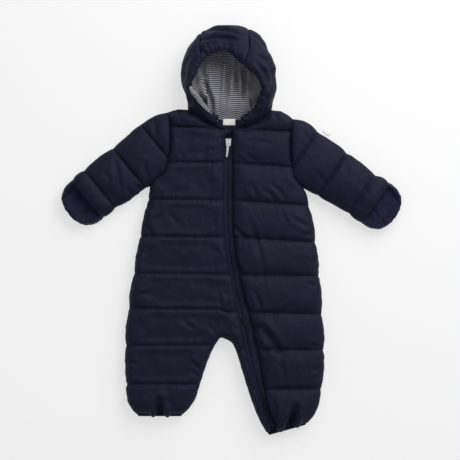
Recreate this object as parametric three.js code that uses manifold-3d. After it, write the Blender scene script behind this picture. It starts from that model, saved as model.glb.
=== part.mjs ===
// A padded baby snowsuit laid flat on its back: quilted front and back panels, two sleeves with fold-over mitts,
// a three-panel hood with a jersey lining and a two-way zip that curves from the neck to the left leg's hem.
// Units are millimetres. +Z is up, away from the surface that the suit lies on, +Y points to the hood and +X to the
// wearer's left. The origin is under the middle of the suit's bounding box, on the surface.
import * as THREE from "three";
import { mergeVertices } from "three/addons/utils/BufferGeometryUtils.js";
import Module from "manifold-3d";

const wasm = await Module();
wasm.setup();

// ---------------------------------------------------------------- driving dimensions
const SEAM_GAP = 0.3; // between two pieces that are sewn together
const BACK = { top: 13, edge: 9, groove: 2.5, rounding: 26 }; // heights of the back panels over the surface
const FRONT = {
  seam: BACK.top + SEAM_GAP, // underside where it is sewn to the back
  under: BACK.top + 2.2, // underside inside the seam
  lip: 10, // how far in the underside rises from one to the other
  edge: 3, // thickness at a side seam, an armhole or a hem
  zipUnder: BACK.top + 3.9, // underside over the zip's tape
  zipLip: 18, // how far from the zip it is down again
  zipEdge: 5.5, // thickness where the zip is sewn in
  groove: 7.5, // thickness on a quilting line
  crown: 18, // thickness in the middle of a channel
  sideRounding: 44,
  zipRounding: 20,
};
const PUFF = 0.6; // the smaller, the squarer a channel's crown
const SIDE_SCALLOP = 2; // how far a quilting line draws the side seam in
const ZIP = {
  top: 158,
  bottom: -339.5,
  step: 24, // between two sections
  low: BACK.top + 2, // underside of the tape
  tape: 1, // thickness of the tape
  under: 4, // how far the tape reaches under the fronts
  coilHalf: 2.6,
  coil: 1.8, // thickness of the coil
  split: 0.2, // half the gap between the two tapes
};
const ROWS_IN_CHANNEL = [0, 0.1, 0.3, 0.7, 0.9]; // where the panels have a section, in channels
const ZIP_TOP_LINE = 1.17; // one more section, where the fronts close over the zip
const SLIDER = {
  half: 6, // half its length
  wide: 4.8, // half its width at the head
  tail: 0.8, // how much narrower it is at the other end, on each side
  plate: 1.3,
  flange: 0.7,
  post: 1.4,
  clear: 0.35, // running clearance over the coil and under the tapes
  bail: { from: -3.6, to: 3.6, half: 0.8, high: 3.6, thick: 0.9, leg: 1, eyeMiddle: 1.4 },
};
const SLIDERS = {
  top: { y: 149.5, head: 1, pull: { length: 25, wide: 5.2, window: 6, thick: 1.3, tilt: 4, aside: -0.2 } },
  low: { y: -156, head: -1, pull: { length: 9, wide: 5.2, window: 6, thick: 1.3, tilt: 4, aside: 0 } },
};
const PULL = { bar: 1.2, arm: 1.2, y: 0 };
const HEM = { depth: 4.5, low: 4, high: 21, slot: 1.2, inset: 7, skew: 4.3 };
const COIL_TOP = ZIP.low + ZIP.tape + SEAM_GAP + ZIP.coil;
const POST_Y = [SLIDER.half - 3.5, SLIDER.half - 0.5];
const SLIDER_Z = {
  under: ZIP.low - SLIDER.clear,
  tapeTop: ZIP.low + ZIP.tape + SLIDER.clear,
  over: COIL_TOP + SLIDER.clear,
  top: COIL_TOP + SLIDER.clear + SLIDER.plate,
};
const LABEL = { x: [-12, 9], y: [178.8, 189.6], thick: 0.8 };
const PATCH = { along: [-117, -103], across: [46.4, 53], low: 12, thick: 1 };

// Quilting lines: their height at the wearer's right side, at the zip and at the left side. Line 0 is the shoulder
// and line 9 the leg's end.
const LINES = [
  { line: 0, right: 206, middle: 205, left: 203 },
  { line: 1, right: 176, middle: 173, left: 167 },
  { line: 2, right: 115, middle: 114, left: 106 },
  { line: 3, right: 52, middle: 50, left: 41 },
  { line: 4, right: -11, middle: -13, left: -21 },
  { line: 5, right: -74, middle: -77, left: -79 },
  { line: 6, right: -134, middle: -141, left: -144 },
  { line: 7, right: -197, middle: -204, left: -205 },
  { line: 8, right: -263, middle: -272, left: -271 },
  { line: 9, right: -315, middle: -343, left: -330 },
];
const CROTCH_LINE = 6.78; // the crotch, counted in quilting lines
const LAST_LINE = 9;

// Outline of the body's right side, from the shoulder over the armhole and the side seam to the leg's end.
const RIGHT_SIDE = [
  { y: 206, x: -88 },
  { y: 203, x: -96 },
  { y: 197, x: -104 },
  { y: 152, x: -103 },
  { y: 119, x: -107 },
  { y: 99, x: -112 },
  { y: 88, x: -124 },
  { y: 83, x: -134 },
  { y: 52, x: -141 },
  { y: -11, x: -155 },
  { y: -74, x: -166 },
  { y: -134, x: -175 },
  { y: -197, x: -180 },
  { y: -263, x: -179 },
  { y: -288, x: -176 },
  { y: -306, x: -168 },
  { y: -315, x: -160 },
];
const LEFT_SIDE = [
  { y: 203, x: 86 },
  { y: 196, x: 98 },
  { y: 186, x: 108 },
  { y: 166, x: 105 },
  { y: 133, x: 105 },
  { y: 92, x: 110 },
  { y: 78, x: 119 },
  { y: 69, x: 128 },
  { y: 41, x: 137 },
  { y: -21, x: 148 },
  { y: -79, x: 154 },
  { y: -144, x: 159 },
  { y: -205, x: 162 },
  { y: -271, x: 158 },
  { y: -300, x: 151 },
  { y: -317, x: 144 },
  { y: -330, x: 132 },
];
const ARMPIT = { right: 83, left: 69 }; // where the armhole becomes the side seam
const RIGHT_INSEAM = [
  { y: -184, x: -16 },
  { y: -194, x: -24 },
  { y: -224, x: -38 },
  { y: -263, x: -51 },
  { y: -288, x: -59 },
  { y: -306, x: -71 },
  { y: -315, x: -80 },
];
const LEFT_INSEAM = [
  { y: -184, x: -4 },
  { y: -194, x: 4 },
  { y: -204, x: 9 },
  { y: -255, x: 25 },
  { y: -286, x: 35 },
  { y: -306, x: 43 },
  { y: -326, x: 53 },
  { y: -347, x: 66 },
];
// The zip: the middle and half the width of the band between the two fronts, and the middle of the coil.
const ZIP_LINE = [
  { y: 206, x: 3, half: 0.3, coil: -2.7 },
  { y: 166, x: 3, half: 0.3, coil: -2.7 },
  { y: 157, x: -2.7, half: 6, coil: -2.7 },
  { y: 22, x: -2.7, half: 6, coil: -2.7 },
  { y: -26, x: 1, half: 6, coil: 0.5 },
  { y: -92, x: 12, half: 6.3, coil: 10.5 },
  { y: -155, x: 27, half: 7.9, coil: 25 },
  { y: -218, x: 40, half: 8.7, coil: 38 },
  { y: -277, x: 53, half: 5.5, coil: 53 },
  { y: -309, x: 63, half: 4, coil: 63 },
  { y: -347, x: 77, half: 3.4, coil: 77 },
];
const RIGHT_NECK = [
  { y: 206, x: -70 },
  { y: 192, x: -52 },
  { y: 181, x: -36 },
  { y: 173, x: 2.7 },
];
const LEFT_NECK = [
  { y: 205, x: 70 },
  { y: 190, x: 58 },
  { y: 179, x: 38 },
  { y: 173, x: 3.3 },
];
const BACK_NECK = [
  { y: 206, x: 70 },
  { y: 196, x: 60 },
  { y: 190, x: 40 },
];
const CREASES = [
  // the deepest creases of the front: both ends, half width and depth
  { from: [-114, -284], to: [-106, -315], width: 9, depth: 9 },
  { from: [106, -294], to: [96, -328], width: 9, depth: 9 },
  { from: [38, -168], to: [88, -202], width: 9, depth: 5 },
];

// ---------------------------------------------------------------- helpers
const smoothstep = (low, high, at) => THREE.MathUtils.smoothstep(at, low, high);

// A smooth curve through a table's rows with no overshoot: value(at) for the column's value where key is at.
function curve(rows, key, column) {
  const sorted = [...rows].sort((a, b) => a[key] - b[key]);
  const xs = sorted.map((row) => row[key]);
  const ys = sorted.map((row) => row[column]);
  const slopes = xs.slice(1).map((x, i) => (ys[i + 1] - ys[i]) / (x - xs[i]));
  const tangents = xs.map((_, i) => {
    const [before, after] = [slopes[i - 1] ?? slopes[i], slopes[i] ?? slopes[i - 1]];
    return before * after <= 0 ? 0 : (2 * before * after) / (before + after);
  });
  return (at) => {
    const x = THREE.MathUtils.clamp(at, xs[0], xs[xs.length - 1]);
    const i = Math.min(Math.max(xs.findIndex((end) => end >= x) - 1, 0), xs.length - 2);
    const [width, t] = [xs[i + 1] - xs[i], (x - xs[i]) / (xs[i + 1] - xs[i])];
    const [t2, t3] = [t * t, t * t * t];
    return (
      ys[i] * (2 * t3 - 3 * t2 + 1) +
      ys[i + 1] * (3 * t2 - 2 * t3) +
      tangents[i] * width * (t3 - 2 * t2 + t) +
      tangents[i + 1] * width * (t3 - t2)
    );
  };
}

// Share of the full height at a distance from an edge that is rounded off over a width.
const rounded = (distance, width) => Math.sqrt(1 - (1 - THREE.MathUtils.clamp(distance / width, 0, 1)) ** 2);

// Share of the puff between two quilting lines, 0 on a line and 1 in the channel's middle.
const puff = (line) => Math.abs(Math.sin(Math.PI * line)) ** PUFF;

// A BufferGeometry as a manifold-3d solid that faces outwards.
function solidOf(geometry) {
  const bare = new THREE.BufferGeometry().setAttribute("position", geometry.getAttribute("position"));
  bare.setIndex(geometry.index);
  const merged = mergeVertices(bare, 1e-4);
  const make = (triVerts) =>
    new wasm.Manifold(
      new wasm.Mesh({ numProp: 3, vertProperties: merged.attributes.position.array, triVerts }),
    );
  const made = make(new Uint32Array(merged.index.array));
  return made.volume() < 0 ? make(new Uint32Array(merged.index.array).reverse()) : made;
}

function geometryOf(solid) {
  const mesh = solid.getMesh();
  const geometry = new THREE.BufferGeometry();
  geometry.setAttribute("position", new THREE.BufferAttribute(new Float32Array(mesh.vertProperties), 3));
  geometry.setIndex(new THREE.BufferAttribute(new Uint32Array(mesh.triVerts), 1));
  return geometry;
}

// A closed solid through sections. Each section stands upright on the line from `at` along `toward`, and its points
// are [distance along the line, height].
function loft(sections) {
  const count = sections[0].points.length;
  const positions = sections.flatMap(({ at, toward, points }) =>
    points.flatMap(([along, z]) => [at[0] + toward[0] * along, at[1] + toward[1] * along, z]),
  );
  const cap = (section) => {
    if (section.wall) {
      const pairs = Array.from({ length: count / 2 - 1 }, (_, i) => [i, i + 1, count - 2 - i, count - 1 - i]);
      return pairs.flatMap(([a, b, c, d]) => [[a, b, c], [a, c, d]]);
    }
    const outline = section.points.map(([along, z]) => new THREE.Vector2(along, z));
    return THREE.ShapeUtils.triangulateShape(outline, []);
  };
  const last = (sections.length - 1) * count;
  const triangles = sections.slice(1).flatMap((_, i) =>
    sections[0].points.flatMap((_, j) => {
      const next = (j + 1) % count;
      const [a, b, c, d] = [i * count + j, i * count + next, (i + 1) * count + j, (i + 1) * count + next];
      return [a, b, d, a, d, c];
    }),
  );
  // triangulateShape keeps the outline's own turn, so the first cap is turned round to face outwards.
  cap(sections[0]).forEach(([a, b, c]) => triangles.push(a, c, b));
  cap(sections[sections.length - 1]).forEach(([a, b, c]) => triangles.push(last + a, last + b, last + c));
  const geometry = new THREE.BufferGeometry();
  geometry.setAttribute("position", new THREE.Float32BufferAttribute(positions, 3));
  geometry.setIndex(triangles);
  return solidOf(geometry);
}

// A section of a pad between two points: flat or shaped underside, then the upper side back.
function padSection({ from, to, shares, bottomShares, top, bottom }) {
  const width = Math.hypot(to[0] - from[0], to[1] - from[1]);
  const toward = [(to[0] - from[0]) / width, (to[1] - from[1]) / width];
  const at = (share) => [from[0] + toward[0] * share * width, from[1] + toward[1] * share * width];
  const under = bottomShares.map((share) => [share * width, bottom(share * width, width, at(share))]);
  const over = shares.map((share) => [share * width, top(share * width, width, at(share))]).reverse();
  return { at: from, toward, points: [...under, ...over] };
}

function prism(outline, low, high) {
  const shape = new THREE.Shape(outline.map(([x, y]) => new THREE.Vector2(x, y)));
  const geometry = new THREE.ExtrudeGeometry(shape, { depth: high - low, bevelEnabled: false });
  return solidOf(geometry.translate(0, 0, low));
}

function box([x0, x1], [y0, y1], [z0, z1]) {
  const geometry = new THREE.BoxGeometry(x1 - x0, y1 - y0, z1 - z0);
  return solidOf(geometry.translate((x0 + x1) / 2, (y0 + y1) / 2, (z0 + z1) / 2));
}

// Distance from a point to the straight line between two points.
function distanceTo([x, y], from, to) {
  const [dx, dy] = [to[0] - from[0], to[1] - from[1]];
  const share = THREE.MathUtils.clamp(((x - from[0]) * dx + (y - from[1]) * dy) / (dx * dx + dy * dy), 0, 1);
  return Math.hypot(x - from[0] - share * dx, y - from[1] - share * dy);
}

// ---------------------------------------------------------------- body outline
const zipX = curve(ZIP_LINE, "y", "x");
const zipHalf = curve(ZIP_LINE, "y", "half");
const coilX = curve(ZIP_LINE, "y", "coil");
const sideX = { right: curve(RIGHT_SIDE, "y", "x"), left: curve(LEFT_SIDE, "y", "x") };
const inseamX = { right: curve(RIGHT_INSEAM, "y", "x"), left: curve(LEFT_INSEAM, "y", "x") };
const neckX = { right: curve(RIGHT_NECK, "y", "x"), left: curve(LEFT_NECK, "y", "x") };
const backNeckX = curve(BACK_NECK, "y", "x");
const lineY = {
  right: curve(LINES, "line", "right"),
  middle: curve(LINES, "line", "middle"),
  left: curve(LINES, "line", "left"),
};

function rowsBetween(first, last) {
  const channels = Array.from({ length: LAST_LINE }, (_, channel) => channel);
  const all = [...channels.flatMap((c) => ROWS_IN_CHANNEL.map((share) => c + share)), ZIP_TOP_LINE];
  const between = all.filter((line) => line > first + 0.02 && line < last - 0.02);
  return [first, ...between.sort((a, b) => a - b), last];
}

// The point of the outline where a row meets the side. Below the armpit the quilting draws the seam in.
function sidePoint(side, line) {
  const y = lineY[side](line);
  const scallop = y < ARMPIT[side] ? SIDE_SCALLOP * (1 - puff(line)) : 0;
  return [sideX[side](y) - Math.sign(sideX[side](y)) * scallop, y];
}

// Where a row meets the zip, or the neckline above it.
function zipPoint(side, line) {
  const y = lineY.middle(line);
  const away = side === "right" ? -1 : 1;
  if (line < 1) return [neckX[side](y), y];
  return [zipX(y) + away * zipHalf(y), y];
}

// The inseam's end of a row on the left leg. At the leg's end it lies lower than the zip, in line with the hem.
function leftInseamPoint(line) {
  const y = lineY.middle(line);
  return [inseamX.left(y), y - HEM.skew * smoothstep(LAST_LINE - 1, LAST_LINE, line)];
}

const TOP_SHARES = [0, 0.03, 0.1, 0.24, 0.5, 0.78, 0.93, 1];
const LEG_SHARES = [0, 0.05, 0.18, 0.5, 0.82, 0.95, 1];
const STRIP_SHARES = [0, 0.25, 0.6, 1];

// Thickness of the front at a point: from the sides that it is sewn to, the quilting and the creases.
function frontThickness(line, fromSeam, fromZip, at) {
  const full = THREE.MathUtils.lerp(FRONT.groove, FRONT.crown, puff(line));
  const toHem = rounded((LAST_LINE - line) * 55, 30);
  const toNeck = rounded(line * 34 + 6, 22);
  const side = FRONT.edge + (full - FRONT.edge) * rounded(fromSeam, FRONT.sideRounding) * toHem * toNeck;
  const zip = FRONT.zipEdge + (full - FRONT.zipEdge) * rounded(fromZip, FRONT.zipRounding);
  const dip = CREASES.reduce(
    (sum, { from, to, width, depth }) => sum + depth * Math.exp(-((distanceTo(at, from, to) / width) ** 2)),
    0,
  );
  return Math.max(FRONT.edge, Math.min(side, zip) - dip);
}

// One row of a front piece. `sewn` and `zipped` say which of its ends is a seam and which meets the zip.
function frontRow(line, from, to, shares, sewn, zipped) {
  const fromEnds = (along, width, ends) =>
    Math.min(ends[0] ? along : Infinity, ends[1] ? width - along : Infinity);
  const under = (along, width) =>
    FRONT.seam +
    (FRONT.under - FRONT.seam) * smoothstep(0, FRONT.lip, fromEnds(along, width, sewn)) +
    (FRONT.zipUnder - FRONT.under) * (1 - smoothstep(0, FRONT.zipLip, fromEnds(along, width, zipped)));
  return padSection({
    from,
    to,
    shares,
    bottomShares: [0, 0.12, 0.88, 1],
    bottom: under,
    top: (along, width, at) =>
      under(along, width) +
      frontThickness(line, fromEnds(along, width, sewn), fromEnds(along, width, zipped), at),
  });
}

function frontRight() {
  const torso = rowsBetween(0, CROTCH_LINE).map((line) =>
    frontRow(line, sidePoint("right", line), zipPoint("right", line), TOP_SHARES, [true, false], [false, true]),
  );
  const leg = rowsBetween(CROTCH_LINE - 0.02, LAST_LINE).map((line) => {
    const [x, y] = sidePoint("right", line);
    return frontRow(line, [x, y], [inseamX.right(y), y], LEG_SHARES, [true, true], [false, false]);
  });
  const strip = rowsBetween(CROTCH_LINE - 0.02, LAST_LINE).map((line) => {
    const [from, to] = [leftInseamPoint(line), zipPoint("right", line)];
    return frontRow(line, from, to, STRIP_SHARES, [true, false], [false, true]);
  });
  return loft(torso).add(loft(leg)).add(loft(strip));
}

function frontLeft() {
  return loft(
    rowsBetween(0, LAST_LINE).map((line) =>
      frontRow(line, zipPoint("left", line), sidePoint("left", line), TOP_SHARES, [false, true], [true, false]),
    ),
  );
}

// One row of a back piece: flat on the surface, drawn up at the quilting lines and at the seam.
function backRow(line, from, to, shares, sewn) {
  const flat = Math.min(1, puff(line) / puff(ROWS_IN_CHANNEL[2]));
  return padSection({
    from,
    to,
    shares: [0, 0.5, 1],
    bottomShares: shares,
    top: () => BACK.top,
    bottom: (along, width) => {
      const fromSeam = Math.min(sewn[0] ? along : Infinity, sewn[1] ? width - along : Infinity);
      return Math.max(BACK.edge * (1 - rounded(fromSeam, BACK.rounding)), BACK.groove * (1 - flat));
    },
  });
}

// The back's right or left half, with a seat seam between them.
function backHalf(side) {
  const away = side === "right" ? -1 : 1;
  const shares = [0, 0.04, 0.12, 0.22, 1];
  const legShares = [0, 0.06, 0.18, 0.82, 0.94, 1];
  const centre = (line) => {
    const y = lineY[side](line);
    return [away * (y > 190 ? backNeckX(y) : SEAM_GAP / 2), y];
  };
  const neckRows = rowsBetween(0, CROTCH_LINE).map((line) =>
    backRow(line, sidePoint(side, line), centre(line), shares, [true, false]),
  );
  const leg = rowsBetween(CROTCH_LINE - 0.02, LAST_LINE).map((line) => {
    const [x, y] = sidePoint(side, line);
    const inner = side === "right" ? [inseamX.right(y), y] : leftInseamPoint(line);
    return backRow(line, [x, y], inner, legShares, [true, true]);
  });
  return loft(neckRows).add(loft(leg)).subtract(hoodFloor(-1, BACK.top + 1, -SEAM_GAP));
}

// The elasticated band round a leg's end, pressed flat to a slot.
function hem(side) {
  const outer = sidePoint(side, LAST_LINE);
  const inner = side === "right" ? [inseamX.right(outer[1]), outer[1]] : leftInseamPoint(LAST_LINE);
  const section = (depth, low, high, inset) =>
    padSection({
      from: [outer[0] + (side === "right" ? inset : -inset), outer[1] - depth],
      to: [inner[0] + (side === "right" ? -inset : inset), inner[1] - depth],
      shares: [0, 0.04, 0.96, 1],
      bottomShares: [0, 0.04, 0.96, 1],
      top: (along, width) => high - (along > 0 && along < width ? 0 : (high - low) / 4),
      bottom: (along, width) => low + (along > 0 && along < width ? 0 : (high - low) / 4),
    });
  const [near, far] = [2 * SEAM_GAP, 2 * SEAM_GAP + HEM.depth];
  const middle = (HEM.low + HEM.high) / 2;
  const slot = [near - 1, far + 1].map((depth) =>
    section(depth, middle - HEM.slot / 2, middle + HEM.slot / 2, HEM.inset),
  );
  const band = [section(near, HEM.low, HEM.high, 1), section(far, HEM.low + 1.5, HEM.high - 1.5, 3)];
  return loft(band).subtract(loft(slot));
}

// ---------------------------------------------------------------- zip
// A strip along the zip. left and right give its edges and low and high its faces at a height on the suit.
function zipStrip(top, bottom, left, right, low, high) {
  const count = Math.ceil((top - bottom) / ZIP.step);
  const stations = Array.from({ length: count + 1 }, (_, i) => top + ((bottom - top) * i) / count);
  return loft(
    stations.map((y) =>
      padSection({
        from: [left(y), y],
        to: [right(y), y],
        shares: [0, 1],
        bottomShares: [0, 1],
        top: () => high,
        bottom: () => low,
      }),
    ),
  );
}

function zipTape(side) {
  const away = side === "right" ? -1 : 1;
  const outer = (y) => {
    const band = Math.min(y, SLIDERS.top.y);
    return zipX(band) + away * (zipHalf(band) + ZIP.under);
  };
  const inner = (y) => coilX(y) + away * ZIP.split;
  const edges = side === "right" ? [outer, inner] : [inner, outer];
  return zipStrip(ZIP.top, ZIP.bottom, ...edges, ZIP.low, ZIP.low + ZIP.tape);
}

function zipCoil() {
  const low = ZIP.low + ZIP.tape + SEAM_GAP;
  return zipStrip(
    SLIDERS.top.y,
    ZIP.bottom,
    (y) => coilX(y) - ZIP.coilHalf,
    (y) => coilX(y) + ZIP.coilHalf,
    low,
    COIL_TOP,
  );
}

// A slider in its own frame, its head to +Y: a plate over the coil and one under the tapes, flanges along the coil,
// the post that parts the coil, and the bail on top that holds the pull.
function slider() {
  const { half, wide, tail, plate, post, flange, bail } = SLIDER;
  const outline = [[tail - wide, -half], [wide - tail, -half], [wide, half], [-wide, half]];
  const skirt = (away) => {
    const x = away * (wide - tail - flange / 2);
    return box([x - flange / 2, x + flange / 2], [-half, half], [SLIDER_Z.tapeTop, SLIDER_Z.over + 0.2]);
  };
  const arch = box([-bail.half, bail.half], [bail.from, bail.to], [SLIDER_Z.top - 0.2, SLIDER_Z.top + bail.high]);
  const eye = box(
    [-bail.half - 1, bail.half + 1],
    [bail.from + bail.leg, bail.to - bail.leg],
    [SLIDER_Z.top, SLIDER_Z.top + bail.high - bail.thick],
  );
  return prism(outline, SLIDER_Z.over, SLIDER_Z.top)
    .add(prism(outline, SLIDER_Z.under - plate, SLIDER_Z.under))
    .add(skirt(-1))
    .add(skirt(1))
    .add(box([-post / 2, post / 2], POST_Y, [SLIDER_Z.under - 0.2, SLIDER_Z.over + 0.2]))
    .add(arch.subtract(eye));
}

// Puts what is made in a slider's own frame to its place on the zip.
function onZip(solid, { y, head }) {
  const slope = (coilX(y + 4) - coilX(y - 4)) / 8;
  return geometryOf(solid)
    .rotateZ((head > 0 ? 0 : Math.PI) - Math.atan(slope))
    .translate(coilX(y), y, 0);
}

// The space round a slider's post, which the tapes and the coil leave free.
function postSpace(placed) {
  const side = SLIDER.post / 2 + SEAM_GAP;
  return solidOf(onZip(box([-side, side], [POST_Y[0] - SEAM_GAP, POST_Y[1] + SEAM_GAP], [0, 60]), placed));
}

// A zip pull: a plate with a window, whose end bar lies in the bail. Its far end rests lower.
function pull(placed) {
  const { length, wide, window, thick, tilt, aside } = placed.pull;
  const bar = new THREE.CylinderGeometry(PULL.bar / 2, PULL.bar / 2, wide - 0.2, 8).rotateZ(Math.PI / 2);
  const plate = box([-wide / 2, wide / 2], [-length, 0], [-thick / 2, thick / 2]);
  const hole = box([PULL.arm - wide / 2, wide / 2 - PULL.arm], [-window, 2], [-5, 5]);
  const turned = geometryOf(plate.subtract(hole).add(solidOf(bar)))
    .rotateX(THREE.MathUtils.degToRad(tilt))
    .translate(aside, PULL.y, SLIDER_Z.top + SLIDER.bail.eyeMiddle);
  return onZip(solidOf(turned), placed);
}

// ---------------------------------------------------------------- sleeves and mitts
const SLEEVE = {
  wall: 12, // thickness of the under layer, at the slot
  slot: 1,
  high: 35, // height of the sleeve's crown
  low: 25, // height on a quilting line
  edgeLow: 10,
  edgeHigh: 16,
  spacing: 62,
  mouth: 28, // the mouth, beyond the cuff seam
};
const SLEEVES = {
  right: {
    cuff: [-223, 70],
    degrees: 219.6,
    // half widths above and below the sleeve's axis, by distance from the cuff seam, out to the mouth
    widths: [
      { along: -186, upper: 18, lower: 46 },
      { along: -174, upper: 22, lower: 46 },
      { along: -156, upper: 31, lower: 46 },
      { along: -124, upper: 36, lower: 46 },
      { along: -82, upper: 40, lower: 46 },
      { along: -62, upper: 41, lower: 48 },
      { along: -31, upper: 43, lower: 48 },
      { along: 0, upper: 43, lower: 44 },
      { along: 14, upper: 44, lower: 44 },
      { along: 28, upper: 42, lower: 42 },
    ],
  },
  left: {
    cuff: [227, 61],
    degrees: -34.1,
    widths: [
      { along: -186, upper: 24, lower: 48 },
      { along: -168, upper: 37, lower: 48 },
      { along: -150, upper: 44, lower: 48 },
      { along: -124, upper: 45, lower: 48 },
      { along: -88, upper: 46, lower: 48 },
      { along: -62, upper: 45, lower: 47 },
      { along: -31, upper: 43, lower: 43 },
      { along: 0, upper: 41, lower: 42 },
      { along: 14, upper: 43, lower: 43 },
      { along: 28, upper: 41, lower: 42 },
    ],
  },
};
const MITT = {
  floor: 8,
  rim: 13, // how much the rim stands above the floor
  rimWidth: 16,
  lining: 1.2,
  inset: 5,
  // half width by distance from the cuff seam
  widths: [
    { along: 28.4, half: 42 },
    { along: 36, half: 42 },
    { along: 46, half: 39.5 },
    { along: 56, half: 34 },
    { along: 62, half: 27 },
    { along: 66, half: 18 },
    { along: 68, half: 9 },
  ],
};

// A sleeve's own directions: along it to the hand, and across it to its upper edge.
function sleeveFrame({ degrees }) {
  const angle = THREE.MathUtils.degToRad(degrees);
  const along = [Math.cos(angle), Math.sin(angle)];
  const across = along[0] < 0 ? [along[1], -along[0]] : [-along[1], along[0]];
  return { along, across };
}

function sleevePlace(sleeve, along, across) {
  const frame = sleeveFrame(sleeve);
  return [
    sleeve.cuff[0] + frame.along[0] * along + frame.across[0] * across,
    sleeve.cuff[1] + frame.along[1] * along + frame.across[1] * across,
  ];
}

// The armhole's seam on the body as the rows have it, so that the sleeve's end follows its facets.
function armhole(side) {
  return rowsBetween(0, CROTCH_LINE)
    .map((line) => sidePoint(side, line))
    .filter(([, y]) => y >= ARMPIT[side] - 12);
}

// The plan of the body next to a sleeve, grown by the seam's gap.
function bodySide(side) {
  const seam = armhole(side);
  const grown = seam.map(([x, y], i) => {
    const [before, after] = [seam[Math.max(i - 1, 0)], seam[Math.min(i + 1, seam.length - 1)]];
    const [dx, dy] = [after[0] - before[0], after[1] - before[1]];
    const away = side === "right" ? 1 : -1;
    const scale = (away * (SEAM_GAP + 0.15)) / Math.hypot(dx, dy);
    return [x + dy * scale, y - dx * scale];
  });
  const [first, last] = [grown[0], grown[grown.length - 1]];
  return [[0, first[1] + 60], [first[0], first[1] + 60], ...grown, [last[0], last[1] - 60], [0, last[1] - 60]];
}

function sleeve(side) {
  const made = SLEEVES[side];
  const upper = curve(made.widths, "along", "upper");
  const lower = curve(made.widths, "along", "lower");
  const seam = armhole(side);
  const stations = [-186, -174, -160, -142, -130, -124, -118, -105, -80, -68, -62, -56, -44, -18, -6, 0, 5, 14, 23];
  const shares = [0, 0.04, 0.13, 0.3, 0.5, 0.7, 0.87, 0.96, 1];
  const crown = (along, share, at) => {
    const nearSeam = Math.min(...seam.slice(1).map((end, i) => distanceTo(at, seam[i], end)));
    const channel = along > 0 ? Math.sin((Math.PI * along) / SLEEVE.mouth) ** PUFF : puff(along / SLEEVE.spacing);
    const full = THREE.MathUtils.lerp(SLEEVE.low, SLEEVE.high, channel) - SLEEVE.edgeHigh;
    const round = Math.sin(Math.PI * share) ** 0.7;
    return SLEEVE.edgeHigh + full * round * (0.35 + 0.65 * rounded(nearSeam, 26));
  };
  const outer = [...stations, SLEEVE.mouth].map((along) => {
    const [from, to] = [sleevePlace(made, along, -lower(along)), sleevePlace(made, along, upper(along))];
    const pull = along > 0 ? 1 : Math.min(1, puff(along / SLEEVE.spacing) / puff(0.1));
    return padSection({
      from,
      to,
      shares,
      bottomShares: shares,
      top: (at, width, place) => crown(along, at / width, place),
      bottom: (at, width) =>
        Math.max(SLEEVE.edgeLow * (1 - rounded(Math.min(at, width - at), 22)), 2 * (1 - pull)),
    });
  });
  const slot = [stations[0] - 10, SLEEVE.mouth + 10].map((along) =>
    padSection({
      from: sleevePlace(made, along, -lower(along) + 7),
      to: sleevePlace(made, along, upper(along) - 7),
      shares: [0, 1],
      bottomShares: [0, 1],
      top: () => SLEEVE.wall + SLEEVE.slot,
      bottom: () => SLEEVE.wall,
    }),
  );
  return loft(outer).subtract(loft(slot)).subtract(prism(bodySide(side), -5, 60));
}

// How much of the rim's height a mitt has at a distance from its outline.
const mittRim = (fromEdge) => MITT.rim * (1 - rounded(fromEdge, MITT.rimWidth));

function mittSection(side, along, inset, bottom, top) {
  const half = curve(MITT.widths, "along", "half")(along) - inset;
  const tip = MITT.widths[MITT.widths.length - 1].along;
  const shares = [0, 0.05, 0.16, 0.32, 0.68, 0.84, 0.95, 1];
  const fromEdge = (at, width) => Math.min(at + inset, width - at + inset, tip + 2 - along);
  return padSection({
    from: sleevePlace(SLEEVES[side], along, -half),
    to: sleevePlace(SLEEVES[side], along, half),
    shares,
    bottomShares: shares,
    top: (at, width) => top(fromEdge(at, width)),
    bottom: (at, width) => bottom(fromEdge(at, width)),
  });
}

// The mitt's padded outer cloth: a shallow cup that lies open beyond the cuff.
function mitt(side) {
  return loft(
    MITT.widths.map(({ along }) =>
      mittSection(
        side,
        along,
        0,
        (fromEdge) => 6 * (1 - rounded(fromEdge, 14)),
        (fromEdge) => MITT.floor + mittRim(fromEdge),
      ),
    ),
  );
}

// The brushed lining that lies in the cup.
function mittLining(side) {
  const lift = (fromEdge) => MITT.floor + mittRim(fromEdge) + 5 * SEAM_GAP;
  return loft(
    [29, 36, 46, 55, 60, 63].map((along) =>
      mittSection(side, along, MITT.inset, lift, (fromEdge) => lift(fromEdge) + MITT.lining),
    ),
  );
}

// ---------------------------------------------------------------- hood
const HOOD = {
  centre: [-2, 248],
  napeY: 190,
  napeHalf: 39,
  floor: 8, // thickness of the part that lies under the head
  lining: 1,
  liningGap: 0.8,
  fullWall: 24, // where the wall's face is narrower than this, the wall is thinner
  neckBase: FRONT.under + 0.6, // the collar part starts this high
  throat: { y: 217, z: 12 }, // the collar's seam ends: below this and higher than this nothing is centre panel
};
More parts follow.
